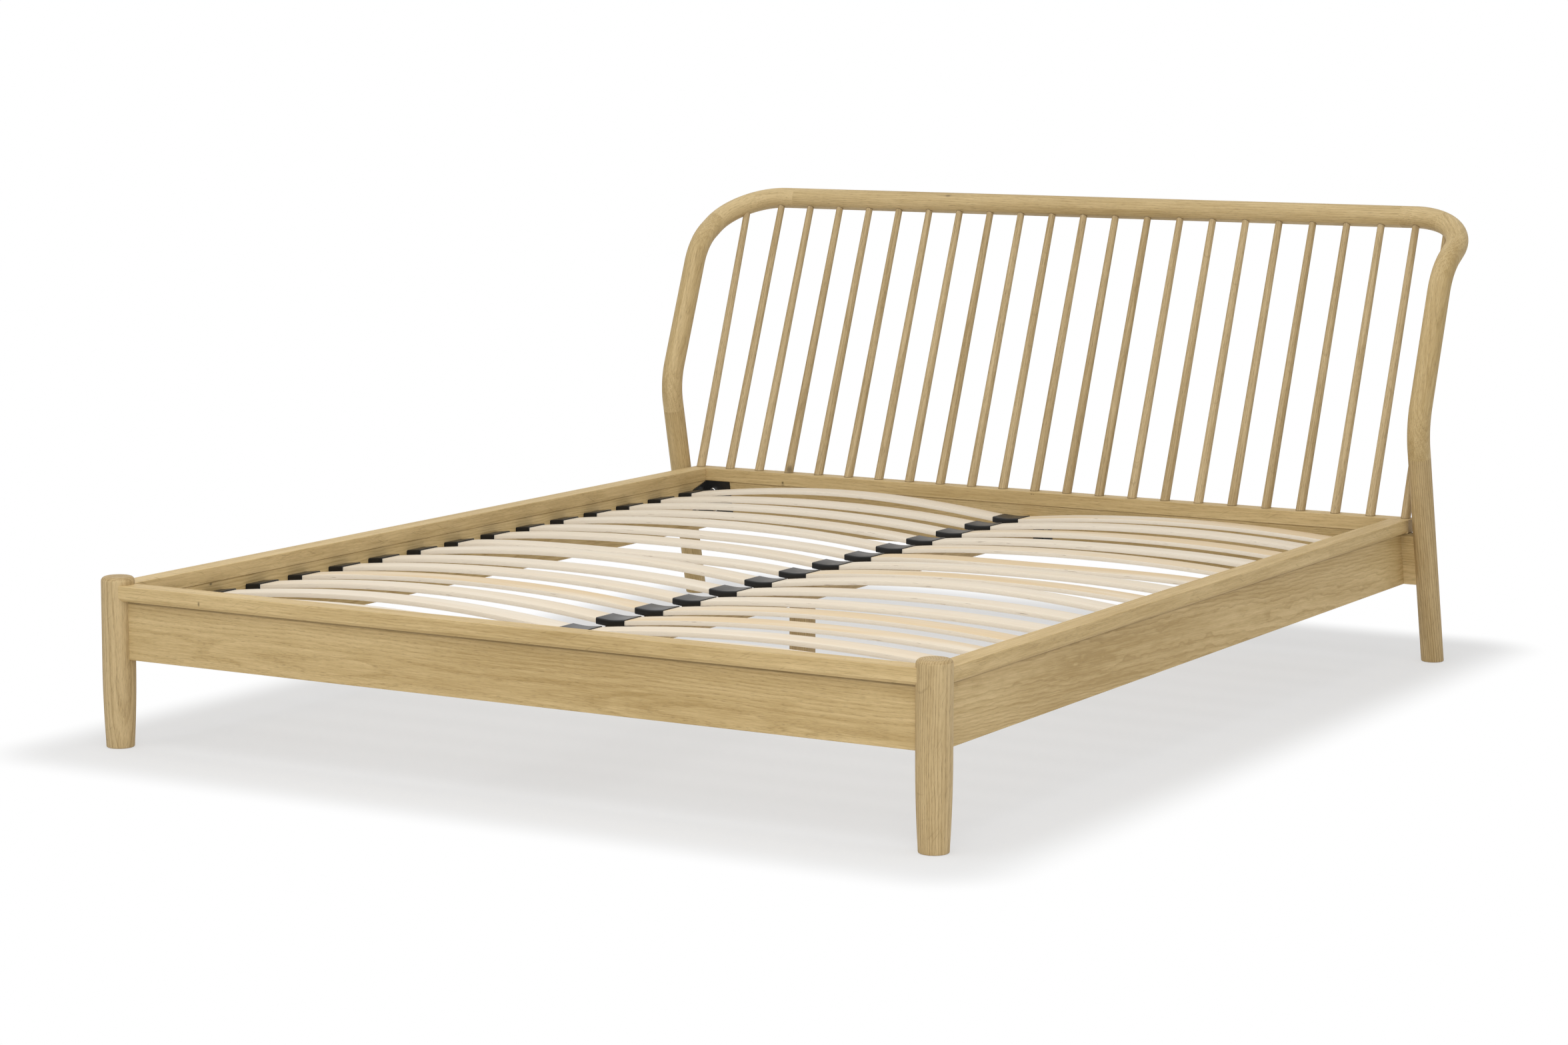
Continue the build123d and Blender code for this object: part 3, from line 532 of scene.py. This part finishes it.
LEG_WAY, POST_WAY, CURL_WAY = lean(-LEG_LEAN), lean(POST_LEAN), lean(CURL_LEAN)
KNEE_TANGENT = KNEE_RADIUS * math.tan((LEG_LEAN + POST_LEAN) / 2)
CURL_TANGENT = CURL_RADIUS * math.tan((CURL_LEAN - POST_LEAN) / 2)
FOOT = Vector((0, POST_FOOT_Y, 0))
SPLICE = FOOT + LEG_WAY * (LEG_RUN - SPLICE_DROP)
KNEE = FOOT + LEG_WAY * (LEG_RUN + KNEE_TANGENT)
CURL = KNEE + POST_WAY * (KNEE_TANGENT + POST_RUN + CURL_TANGENT)
RAIL = CURL + CURL_WAY * (CURL_TANGENT + CURL_RUN + BEND_RADIUS)
SEAM_X = POST_X - BEND_RADIUS - BEND_STUB
BEND_SEAMS = (0.63, 0.05)  # joints in a bend, as shares of its corner
BEND_TONES = {-1: (-0.5, -0.6, 0.0), 1: (0.1, -0.1, 0.2)}  # from the top rail down
POST_HALVES = {-1: (0.0, 0.0), 1: (-0.1, 0.3)}  # tones of the two boards that a post is glued from
LEAST_FLAT, FLAT_FADE = 0.15, 1.4  # the flat that is left in a post, and how slowly it fades in the corner
RAIL_PALE, RAIL_FADE = 0.62, 1.5  # how pale the top rail's left end is, and how fast that fades


def spindle_target(x):
    """Point on the axis of the top rail, or of a bend near the sides, above a spindle."""
    into_bend = max(0.0, abs(x) - (POST_X - BEND_RADIUS))
    drop = BEND_RADIUS - math.sqrt(BEND_RADIUS**2 - into_bend**2)
    return at_x(RAIL - CURL_WAY * drop, x)


def spindle_way(x):
    """Direction of a spindle, which passes just in front of its target."""
    rise = spindle_target(x) - Vector((x, Y_HEAD + SPINDLE_SETBACK, CAP_TOP))
    return lean(math.atan2(rise.y, rise.z) - math.asin(SPINDLE_OFFSET / rise.length))


def at_x(point, x):
    return Vector((x, point.y, point.z))


SPINDLE_WAY = spindle_way(0.0)


def arc_points(corner, before, after, radius, step):
    """Points and directions along the arc that rounds a corner."""
    a, b = (corner - before).normalized(), (after - corner).normalized()
    turn = a.angle(b)
    tangent = radius * math.tan(turn / 2)
    start = corner - a * tangent
    inward = (b - a * a.dot(b)).normalized()
    count = max(4, round(turn * radius / step))
    out = []
    for k in range(count + 1):
        t = turn * k / count
        way = a * math.cos(t) + inward * math.sin(t)
        out.append((start + a * radius * math.sin(t) + inward * radius * (1 - math.cos(t)), way))
    return out


def tube_rings(stations, radius, inner, flats):
    """Rings square to a line, without twist, each with its own half angle of flat towards the inner side."""
    rings = []
    for (point, way), flat in zip(stations, flats):
        inner = (inner - way * inner.dot(way)).normalized()
        other = way.cross(inner)
        ring = []
        for k in range(FLAT_POINTS):
            a = flat * (2 * k / (FLAT_POINTS - 1) - 1)
            ring.append(point + (inner + other * math.tan(a)) * (radius * math.cos(flat)))
        for k in range(1, POST_POINTS):
            a = flat + (2 * math.pi - 2 * flat) * k / POST_POINTS
            ring.append(point + (inner * math.cos(a) + other * math.sin(a)) * radius)
        rings.append(ring)
    return rings


def headboard_bend(name, side):
    """A post from its splice, through knee and curl, into the corner and a stub of the top rail."""
    corners = [at_x(p, side * POST_X) for p in (SPLICE, KNEE, CURL, RAIL)]
    corners.append(at_x(RAIL, side * SEAM_X))
    stations = [(corners[0], LEG_WAY)]
    for i, radius in ((1, KNEE_RADIUS), (2, CURL_RADIUS), (3, BEND_RADIUS)):
        arc = arc_points(corners[i], corners[i - 1], corners[i + 1], radius, ARC_STEP)
        stations += arc
        if i == 1:
            low, high = stations[-1][0], corners[2] - POST_WAY * CURL_TANGENT
            runs = 6
            stations += [(low.lerp(high, k / runs), POST_WAY) for k in range(1, runs)]
    arc_start = len(stations) - len(arc)
    stations.append((corners[4], Vector((-side, 0, 0))))
    stations.reverse()
    seams = [len(stations) - 1 - arc_start - round((len(arc) - 1) * t) for t in BEND_SEAMS]
    flats = [RAIL_FLAT * max(LEAST_FLAT, 1 - k / (FLAT_FADE * len(arc))) for k in range(len(stations))]
    rings = tube_rings(stations, POST_RADIUS, -SPINDLE_WAY, flats)
    logs = []
    ends = [0, *seams, len(stations) - 1]
    for (a, b), tone in zip(zip(ends, ends[1:]), BEND_TONES[side]):
        chord = stations[b][0] - stations[a][0]
        in_post = b == ends[-1]
        for half in (POST_HALVES[side] if in_post else (0.0, 0.0)):
            heart = (rng.uniform(0.03, 0.07), rng.uniform(-0.03, 0.03))
            logs.append(Log(chord, X if in_post else Z, tone=tone + half, heart=heart, start=stations[a][0]))

    def log_at(stretch, column):
        piece = sum(stretch >= seam for seam in seams)
        middle = (rings[stretch][column].x + rings[stretch][(column + 1) % len(rings[0])].x) / 2
        return logs[2 * piece + (side * middle > POST_X)]

    shape = Shape()
    shape.loft(rings, log_at)
    piece = shape.build(f"headboard_bend_{name}_shaped", oak, "oak", f"headboard_bend_{name}", sharp=30)
    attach(piece, "frame")


def rear_leg(name, side):
    foot = at_x(FOOT, side * POST_X)
    other = LEG_WAY.cross(X)

    def level(radius, z):
        points = circle(foot, X, other, radius, POST_POINTS)
        return [p + LEG_WAY * ((z - p.z) / LEG_WAY.z) for p in points]

    rings = [level(POST_RADIUS * k, 0.0) for k in (0.3, 0.65)]
    for a in quarter(4):
        rings.append(level(POST_RADIUS - FOOT_ROUND * (1 - math.sin(a)), FOOT_ROUND * (1 - math.cos(a))))
    for d in (0.03, 0.1, 0.2, 0.3, LEG_RUN - SPLICE_DROP):
        rings.append(circle(foot + LEG_WAY * d, X, other, POST_RADIUS, POST_POINTS))
    shape = Shape()
    wood, tone = (oak_leg, 0.3) if side > 0 else (oak, 0.15)
    shape.loft(rings, Log(LEG_WAY, (1, 0.3, 0), tone=tone, slope=0.02, heart=(0.05, 0.03), start=foot))
    piece = shape.build(f"rear_leg_{name}_turned", wood, "oak", f"rear_leg_{name}", sharp=60)
    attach(piece, "frame")


def top_rail():
    """The rail between the bends, paler towards its left end."""
    xs = [-SEAM_X] + [-0.65 + 0.1 * k for k in range(14)] + [SEAM_X]
    stations = [(at_x(RAIL, x), X) for x in xs]
    log = Log((1, 0.004, 0), (0, 1, 1), tone=0.14, heart=(0.035, 0.02), start=RAIL)
    logs = [log.toned(-RAIL_PALE * max(0.0, -x / SEAM_X) ** RAIL_FADE) for x in xs]
    shape = Shape()
    rings = tube_rings(stations, POST_RADIUS, -SPINDLE_WAY, [RAIL_FLAT] * len(xs))
    shape.loft(rings, lambda stretch, column: logs[stretch])
    piece = shape.build("headboard_top_rail_turned", oak, "oak", "headboard_top_rail", sharp=30)
    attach(piece, "frame")


def joint_ring(target, ring, way):
    """A spindle's ring moved back to where the spindle meets the rail, and a hair further."""
    outwards = Vector((0, -way.z, way.y))
    out = []
    for p in ring:
        round_reach = math.sqrt(POST_RADIUS**2 - (p - target).dot(outwards) ** 2)
        reach = min(round_reach, POST_RADIUS * math.cos(RAIL_FLAT))
        out.append(p + way * ((target - p).dot(way) - reach - JOINT_LINE))
    return out


SPINDLE_TONE, JOINT_SHADOW, DARK_SPINDLE = 0.25, 1.6, 3


def spindle_set():
    reach = POST_X - SPINDLE_MARGIN
    shape = Shape()
    for i in range(SPINDLES):
        x = -reach + 2 * reach * i / (SPINDLES - 1)
        way = spindle_way(x)
        foot = Vector((x, Y_HEAD + SPINDLE_SETBACK, CAP_TOP)) - way * SPINDLE_SEAT
        length = (spindle_target(x) - foot).dot(way) - SPINDLE_END_GAP
        rings = []
        for k in range(SPINDLE_STATIONS + 1):
            radius = SPINDLE_FOOT + (SPINDLE_TOP - SPINDLE_FOOT) * k / SPINDLE_STATIONS
            centre = foot + way * length * k / SPINDLE_STATIONS
            rings.append(circle(centre, X, way.cross(X), radius, SPINDLE_POINTS))
        rings.insert(-1, joint_ring(spindle_target(x), rings[-1], way))
        rings.insert(1, [p + way * ((CAP_TOP + JOINT_LINE - p.z) / way.z) for p in rings[0]])
        turn = rng.uniform(0, math.pi)
        # besides a random tone, painted shade makes the spindles darker towards the right, where less light
        # falls
        tone = rng.uniform(-SPINDLE_TONE, SPINDLE_TONE) + SPINDLE_TONE * x / reach
        if i == DARK_SPINDLE:
            tone += SPINDLE_TONE
        heart = (rng.uniform(0.06, 0.12), rng.uniform(-0.03, 0.03))
        log = Log(way, (math.cos(turn), math.sin(turn), 0), tone=tone, slope=rng.uniform(-0.008, 0.008),
                  heart=heart, start=foot)
        # painted shadow: the stretches where a spindle enters the cap and the rail are made dark
        joint = log.toned(JOINT_SHADOW - tone)
        joints = (0, len(rings) - 2)
        shape.loft(rings, lambda stretch, column: joint if stretch in joints else log)
    piece = shape.build("headboard_spindles_turned", oak_spindle, "oak", "headboard_spindles", sharp=60)
    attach(piece, "frame")


# Rails: boards with caps on them
def along_x(p, s):
    """A point of a section, at a place along X."""
    return Vector((s, p.x, p.y))


def along_y(p, s):
    """A point of a section, at a place along Y."""
    return Vector((p.x, s, p.y))


def rectangle(a0, a1, b0, b1):
    return [(a0, b0), (a1, b0), (a1, b1), (a0, b1)]


def mirror(corners, side):
    """Outline drawn for the +X side, kept counterclockwise on either side."""
    return corners if side > 0 else [(-a, b) for a, b in reversed(corners)]


def dress(shape, node, material):
    """Put a rail's shape in place of its solid."""
    piece = shape.build(f"{node}_shaped", material, "oak", node, weighted=True)
    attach(piece, "frame")


def rails():
    leg_end = LEG_X - LEG_RADIUS + RAIL_SEAT
    out = Y_FOOT - CAP_WIDTH
    shape = Shape()
    section = [(out, CAP_BOTTOM + CAP_BEVEL), (out + CAP_BEVEL, CAP_BOTTOM), (Y_FOOT, CAP_BOTTOM),
               (Y_FOOT, CAP_TOP), (out, CAP_TOP)]
    start = (0, Y_FOOT, CAP_BOTTOM)
    log = Log(X, Y, tone=-0.02, slope=0.006, heart=(0.07, 0.012), start=start)
    bar(shape, section, EDGE, -leg_end, leg_end, along_x, log)
    dress(shape, "foot_rail_cap", oak_cap)

    shape = Shape()
    near = Y_FOOT - BOARD_SETBACK
    board = rectangle(near - BOARD_THICKNESS, near, BOARD_BOTTOM, CAP_BOTTOM)
    log = Log(X, Z, slope=0.012, heart=(0.02, 0.05), start=(-0.3, near, 0.21))
    bar(shape, board, EDGE, -leg_end, leg_end, along_x, log)
    dress(shape, "foot_rail", oak_board)

    for name, side in SIDES:
        inner, outer = HALF_CLEAR, HALF_CLEAR + CAP_WIDTH
        front = LEG_Y + LEG_RADIUS - RAIL_SEAT
        section = [(inner, CAP_BOTTOM), (outer - CAP_BEVEL, CAP_BOTTOM), (outer, CAP_BOTTOM + CAP_BEVEL),
                   (outer, CAP_TOP), (inner, CAP_TOP)]
        shape = Shape()
        log = Log(Y, X, tone=0.15 * side, slope=0.005 * side, heart=(0.06, 0.02),
                  start=(side * inner, 0, CAP_BOTTOM))
        bar(shape, mirror(section, side), EDGE, front, Y_HEAD, along_y, log, end_radius=CAP_END)
        dress(shape, f"side_rail_cap_{name}", oak_cap)

        shape = Shape()
        board = rectangle(BOARD_X, BOARD_X + BOARD_THICKNESS, BOARD_BOTTOM, CAP_BOTTOM)
        log = Log(Y, Z, tone=0.18 * side, slope=0.05 if side > 0 else 0.01, heart=(0.015, 0.055),
                  start=(side * BOARD_X, 0.2, 0.21))
        back = POST_FOOT_Y - BOARD_BOTTOM * math.tan(LEG_LEAN) - BOARD_THICKNESS / 2 / math.cos(LEG_LEAN)
        lift = (CAP_BOTTOM - BOARD_BOTTOM) * math.tan(LEG_LEAN)

        def slanted(p, s, back=back, lift=lift):
            """Along Y, with the far end, where s is near 1, cut to the rear leg's slant."""
            cut = back - lift * (p.y - BOARD_BOTTOM) / (CAP_BOTTOM - BOARD_BOTTOM)
            return Vector((p.x, s if s < 0 else s - 1 + cut, p.y))

        bar(shape, mirror(board, side), EDGE, front, 1.0, slanted, log, end_radius=THIN_EDGE)
        dress(shape, f"side_rail_{name}", oak_side)

    shape = Shape()
    outer = Y_HEAD + CAP_WIDTH
    section = [(Y_HEAD, CAP_BOTTOM), (outer - CAP_BEVEL, CAP_BOTTOM), (outer, CAP_BOTTOM + CAP_BEVEL),
               (outer, CAP_TOP), (Y_HEAD, CAP_TOP)]
    end = HALF_CLEAR + CAP_WIDTH
    log = Log(X, Y, tone=0.02, slope=0.004, heart=(0.05, 0.03), start=(0, Y_HEAD, CAP_BOTTOM))
    bar(shape, section, EDGE, -end, end, along_x, log, end_radius=EDGE)
    dress(shape, "head_rail_cap", oak_cap)

    shape = Shape()
    depth = BOARD_THICKNESS / 2 / math.cos(LEG_LEAN)
    low = POST_FOOT_Y - BOARD_BOTTOM * math.tan(LEG_LEAN)
    high = POST_FOOT_Y - CAP_BOTTOM * math.tan(LEG_LEAN)
    section = [(low - depth, BOARD_BOTTOM), (low + depth, BOARD_BOTTOM), (high + depth, CAP_BOTTOM),
               (high - depth, CAP_BOTTOM)]
    end = POST_X - RAIL_SEAT
    log = Log(X, Z, tone=-0.04, slope=0.008, heart=(0.03, 0.06), start=(0.2, low, 0.2))
    bar(shape, section, EDGE, -end, end, along_x, log)
    dress(shape, "head_rail", oak_board)


# Centre beam and its leg
def centre_support():
    shape = Shape()
    log = Log(Y, Z, heart=(0.03, 0.04), start=(0, 0, BEAM_BOTTOM))
    first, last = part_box("centre_beam")
    section = rectangle(-BEAM_HALF, BEAM_HALF, BEAM_BOTTOM, BEAM_TOP)
    bar(shape, section, BEAM_ROUND, first.y, last.y, along_y, log)
    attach(shape.build("centre_beam_planed", oak_beam, "oak_beam", "centre_beam", weighted=True), "frame")

    shape = Shape()
    half = CENTRE_LEG_HALF
    section = rectangle(-half, half, CENTRE_LEG_Y - half, CENTRE_LEG_Y + half)
    log = Log(Z, X, tone=0.1, heart=(0.04, 0.03), start=(0, CENTRE_LEG_Y, 0))
    bar(shape, section, CENTRE_LEG_ROUND, 0.0, BEAM_BOTTOM, lambda p, s: Vector((p.x, p.y, s)), log,
        end_radius=CENTRE_LEG_END)
    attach(shape.build("centre_leg_planed", oak_beam, "oak_beam", "centre_leg", weighted=True), "frame")


# Slats, bent, in two halves so that the ends stay in their holders when the middle gives
SLAT_MID = (SLAT_INNER + SLAT_OUTER) / 2
SLAT_HALF = (SLAT_OUTER - SLAT_INNER) / 2
SLAT_RADIUS = (SLAT_HALF**2 + SLAT_RISE**2) / (2 * SLAT_RISE)
UPRIGHT = 0.75  # a face whose normal rises less than this shows the layers' edges and gets the painted light of the sides


def slat_low(x):
    """Underside of a slat at a distance from the bed's middle line."""
    return SLAT_LOW + SLAT_RISE - SLAT_RADIUS + math.sqrt(SLAT_RADIUS**2 - (x - SLAT_MID) ** 2)


def slat_y(row):
    return SLAT_FIRST + (SLAT_LAST - SLAT_FIRST) * row / (ROWS - 1)


# How much each slat bows more than the drawn one, front to back, in millimetres
BOWS = {
    "left": (0, 1, 0, -2, -2.5, -4.4, 0, -12, -4.3, -6, -2, -3.5, -2.5, -2.5, 5),
    "right": (-1, -2, -2.7, -1.5, -4.7, -2, 4.2, -3.5, -5.5, -13, -4, -5.3, -3.4, -2, -2),
}
# Slats with a peach-coloured face, by row from the front, and how strong the colour is
PEACH = {("left", 3): 0.9, ("right", 1): 0.3, ("right", 2): 0.85, ("right", 3): 0.8, ("right", 7): 0.9,
         ("right", 9): 0.9, ("right", 10): 0.6, ("right", 12): 0.8, ("right", 14): 0.8}
PALE_PEACH = 0.22  # the most that the other slats have


def slat(name, side, row):
    y = slat_y(row)
    node = f"slat_{name}_{row + 1:02d}"
    tone = PEACH.get((name, row), rng.uniform(0.0, PALE_PEACH))
    bow = BOWS[name][row] / 1000
    outline = rounded(rectangle(-SLAT_WIDTH / 2, SLAT_WIDTH / 2, 0, SLAT_THICKNESS), THIN_EDGE, 2)
    log = Log(X, Y, tone=tone, heart=(rng.uniform(0, 3), 0), start=(0, y, 0))
    for part, start, end in (("outer", SLAT_OUTER, SLAT_MID), ("inner", SLAT_INNER, SLAT_MID)):
        rings, lows = [], []
        for k in range(SLAT_STATIONS + 1):
            x = start + (end - start) * k / SLAT_STATIONS
            low = slat_low(x) + bow * (1 - ((x - SLAT_MID) / SLAT_HALF) ** 2) ** 2
            rings.append([Vector((side * x, y + p.x, low + p.y)) for p in outline])
            lows.append(low)
        shape = Shape()
        shape.loft(rings, log)
        piece = shape.build(f"{node}_{part}", birch, "birch", node, sharp=50)
        heights = [shape.verts[i].z - lows[i // len(outline)] for f in shape.faces for i in f]
        for data, h in zip(piece.data.attributes["grain"].data, heights):
            data.vector = (data.vector[0], data.vector[1], h)
        edge = piece.data.attributes.new("edge", "FLOAT", "CORNER")
        for polygon in piece.data.polygons:
            upright = 1.0 if abs(polygon.normal.z) < UPRIGHT else 0.0
            for corner in polygon.loop_indices:
                edge.data[corner].value = upright
        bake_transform(piece)


def sleeve_ring(x, side, y, wall, radius, base=None):
    """Ring round a slat, with a wall's distance from it. base is the slat's underside there."""
    low = slat_low(x) if base is None else base
    half = SLAT_WIDTH / 2 + wall
    outline = rounded(rectangle(-half, half, low - wall, low + SLAT_THICKNESS + wall), radius)
    return [Vector((side * x, y + p.x, p.y)) for p in outline]


def pockets(name, side):
    shape = Shape()
    mouth = BOARD_X - POCKET_DEPTH
    plain = Log(X, Y)
    wall = POCKET_WALL + SLOT_GAP
    for row in range(ROWS):
        y = slat_y(row)
        rings = [sleeve_ring(BOARD_X - POCKET_DEPTH * k / 4, side, y, wall, POCKET_ROUND) for k in range(4)]
        for a in quarter(3):
            inward = POCKET_EASE * (1 - math.cos(a))
            x = mouth + POCKET_EASE * (1 - math.sin(a))
            rings.append(sleeve_ring(x, side, y, wall - inward, POCKET_ROUND - inward))
        for x in (mouth + SLOT_STEP, BOARD_X - POCKET_WALL):
            rings.append(sleeve_ring(x, side, y, SLOT_GAP, SLOT_ROUND))
        shape.loft(rings, plain)
    piece = shape.build(f"slat_pockets_{name}_moulded", plastic, "plastic", f"slat_pockets_{name}", sharp=50)
    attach(piece, "frame")


def holder_base(x):
    """Underside of the slats in a holder, with a smooth valley between them."""
    rim = math.hypot(HOLDER_HALF, HOLDER_VALLEY)
    return slat_low(math.hypot(x, HOLDER_VALLEY) - rim + HOLDER_HALF)


def holders():
    shape = Shape()
    plain = Log(X, Y)
    half, wall = HOLDER_HALF, HOLDER_WALL + SLOT_GAP
    foot = rectangle(-HOLDER_FOOT, HOLDER_FOOT, -SLAT_WIDTH / 2, SLAT_WIDTH / 2)
    for row in range(ROWS):
        y = slat_y(row)
        right = []
        for k in range(1, 8):
            x = half * k / 8
            right.append(sleeve_ring(x, 1, y, wall, HOLDER_ROUND, holder_base(x)))
        for a in quarter(3):
            inward = HOLDER_EASE * (1 - math.cos(a))
            x = half - HOLDER_EASE * (1 - math.sin(a))
            right.append(sleeve_ring(x, 1, y, wall - inward, HOLDER_ROUND - inward, holder_base(x)))
        for x in (half - SLOT_STEP, HOLDER_WEB):
            right.append(sleeve_ring(x, 1, y, SLOT_GAP, SLOT_ROUND))
        left = [[Vector((-p.x, p.y, p.z)) for p in ring] for ring in reversed(right)]
        middle = sleeve_ring(0.0, 1, y, wall, HOLDER_ROUND, holder_base(0.0))
        shape.loft([*left, middle, *right], plain)
        bar(shape, foot, HOLDER_FOOT_ROUND, BEAM_TOP, slat_low(HOLDER_FOOT),
            lambda p, s: Vector((p.x, y + p.y, s)), plain)
    piece = shape.build("slat_holders_centre_moulded", plastic, "plastic", "slat_holders_centre", sharp=50)
    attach(piece, "frame")


for name, side in SIDES:
    front_leg(name, side)
    rear_leg(name, side)
    headboard_bend(name, side)
top_rail()
spindle_set()
rails()
centre_support()
for name, side in SIDES:
    pockets(name, side)
    for row in range(ROWS):
        slat(name, side, row)
holders()


# Floor, background, lamps and camera
FLOOR_REACH, FLOOR_DROP = 30.0, 0.0002
SHADOW_PATCH_CENTRE, SHADOW_PATCH_HALF = (0.005, -0.0423, 0), (0.86, 1.135, 0)  # the painted shadow, a grey patch under the bed
# painted shadow: its grey, and its share of what the camera sees there, the rest being the lit floor with its
# real shadow
PAINTED_SHADOW_GREY, PAINTED_SHADOW_SHARE = 0.786, 0.67
AMBIENT = 0.55
LAMPS = (  # name, place, aim, size, power
    ("key", (2.6, -4.8, 3.0), (0, -0.1, 0.3), 3.0, 58),
    ("top", (0.0, -2.0, 4.4), (0, -0.4, 0), 4.5, 110),
    ("side", (5.0, 0.2, 1.6), (0, 0, 0.3), 3.0, 13),
)
PHOTO_WIDTH, LENS_PIXELS, CAMERA_SHIFT = 2352, 5600.3, -0.08
CAMERA_PLACE, CAMERA_TURNS = (3.5618, -6.2047, 1.3270), (90 - 5.988, -0.03, 30.561)


def floor_and_painted_shadow():
    """A pale floor, white to the camera away from the bed, with a painted shadow, a grey patch under the bed,
    mixed with the bed's real shadow.
    """
    mesh = bpy.data.meshes.new("floor")
    corners = rectangle(-FLOOR_REACH, FLOOR_REACH, -FLOOR_REACH, FLOOR_REACH)
    mesh.from_pydata([(x, y, 0) for x, y in corners], [], [(0, 1, 2, 3)])
    floor = bpy.data.objects.new("floor", mesh)
    floor.location.z = -FLOOR_DROP
    bpy.context.scene.collection.objects.link(floor)
    n = Nodes("floor_with_painted_shadow", Roughness=0.9, Specular_IOR_Level=0.1)
    place = n.object_place()
    n.colour(n.mix(n.noise(place, (140, 140, 140), 2, 0.5), (0.88, 0.88, 0.88), (0.85, 0.85, 0.85)))
    nothing = (0, 0, 0)
    aside = n.vector("ABSOLUTE", n.vector("SUBTRACT", place, SHADOW_PATCH_CENTRE), nothing)
    beyond = n.vector("MAXIMUM", n.vector("SUBTRACT", aside, SHADOW_PATCH_HALF), nothing)
    away = n.vector("LENGTH", beyond, nothing)
    clear = n.ramp(away, (0.03, 0.0), (0.20, 1.0), smooth=True)
    path = n.add("LightPath")
    seen = n.math("MAXIMUM", path.outputs["Is Camera Ray"], path.outputs["Is Glossy Ray"])
    seen = n.math("MAXIMUM", seen, path.outputs["Is Transmission Ray"])
    # painted shadow: to the camera, grey under the bed and white beyond
    glow = n.add("Emission")
    n.put(glow.inputs["Color"], n.mix(clear, (PAINTED_SHADOW_GREY,) * 3, (1.0, 1.0, 1.0)))
    both = n.add("MixShader")
    share = n.math("MULTIPLY_ADD", clear, 1 - PAINTED_SHADOW_SHARE, PAINTED_SHADOW_SHARE)
    n.put(both.inputs[0], n.math("MULTIPLY", seen, share))
    n.put(both.inputs[1], n.surface.outputs[0])
    n.put(both.inputs[2], glow.outputs[0])
    n.put(n.tree.nodes["Material Output"].inputs["Surface"], both.outputs[0])
    mesh.materials.append(n.material)


def background():
    """White to the camera and in reflections, and a dimmer even light on the bed."""
    world = bpy.data.worlds.new("studio")
    bpy.context.scene.world = world
    world.use_nodes = True
    tree = world.node_tree
    ambient = tree.nodes["Background"]
    ambient.inputs["Color"].default_value = (1, 1, 1, 1)
    ambient.inputs["Strength"].default_value = AMBIENT
    white = tree.nodes.new("ShaderNodeBackground")
    white.inputs["Color"].default_value = (1, 1, 1, 1)
    path = tree.nodes.new("ShaderNodeLightPath")
    seen = path.outputs["Is Camera Ray"]
    for ray in ("Is Glossy Ray", "Is Transmission Ray"):
        either = tree.nodes.new("ShaderNodeMath")
        either.operation = "MAXIMUM"
        tree.links.new(seen, either.inputs[0])
        tree.links.new(path.outputs[ray], either.inputs[1])
        seen = either.outputs[0]
    both = tree.nodes.new("ShaderNodeMixShader")
    tree.links.new(seen, both.inputs[0])
    tree.links.new(ambient.outputs[0], both.inputs[1])
    tree.links.new(white.outputs[0], both.inputs[2])
    tree.links.new(both.outputs[0], tree.nodes["World Output"].inputs["Surface"])


def lamps():
    for name, place, aim, size, power in LAMPS:
        lamp = bpy.data.lights.new(name, "AREA")
        lamp.size = size
        lamp.energy = power
        holder = bpy.data.objects.new(name, lamp)
        holder.location = place
        holder.rotation_euler = (Vector(aim) - Vector(place)).to_track_quat("-Z", "Y").to_euler()
        bpy.context.scene.collection.objects.link(holder)


def camera():
    data = bpy.data.cameras.new("camera")
    data.sensor_width = 36.0
    data.lens = LENS_PIXELS / PHOTO_WIDTH * data.sensor_width
    data.shift_y = CAMERA_SHIFT
    data.clip_end = 100
    holder = bpy.data.objects.new("camera", data)
    holder.location = CAMERA_PLACE
    holder.rotation_euler = [math.radians(a) for a in CAMERA_TURNS]
    bpy.context.scene.collection.objects.link(holder)
    bpy.context.scene.camera = holder


floor_and_painted_shadow()
background()
lamps()
camera()
bpy.context.scene.view_settings.view_transform = "Standard"

bpy.context.view_layer.update()
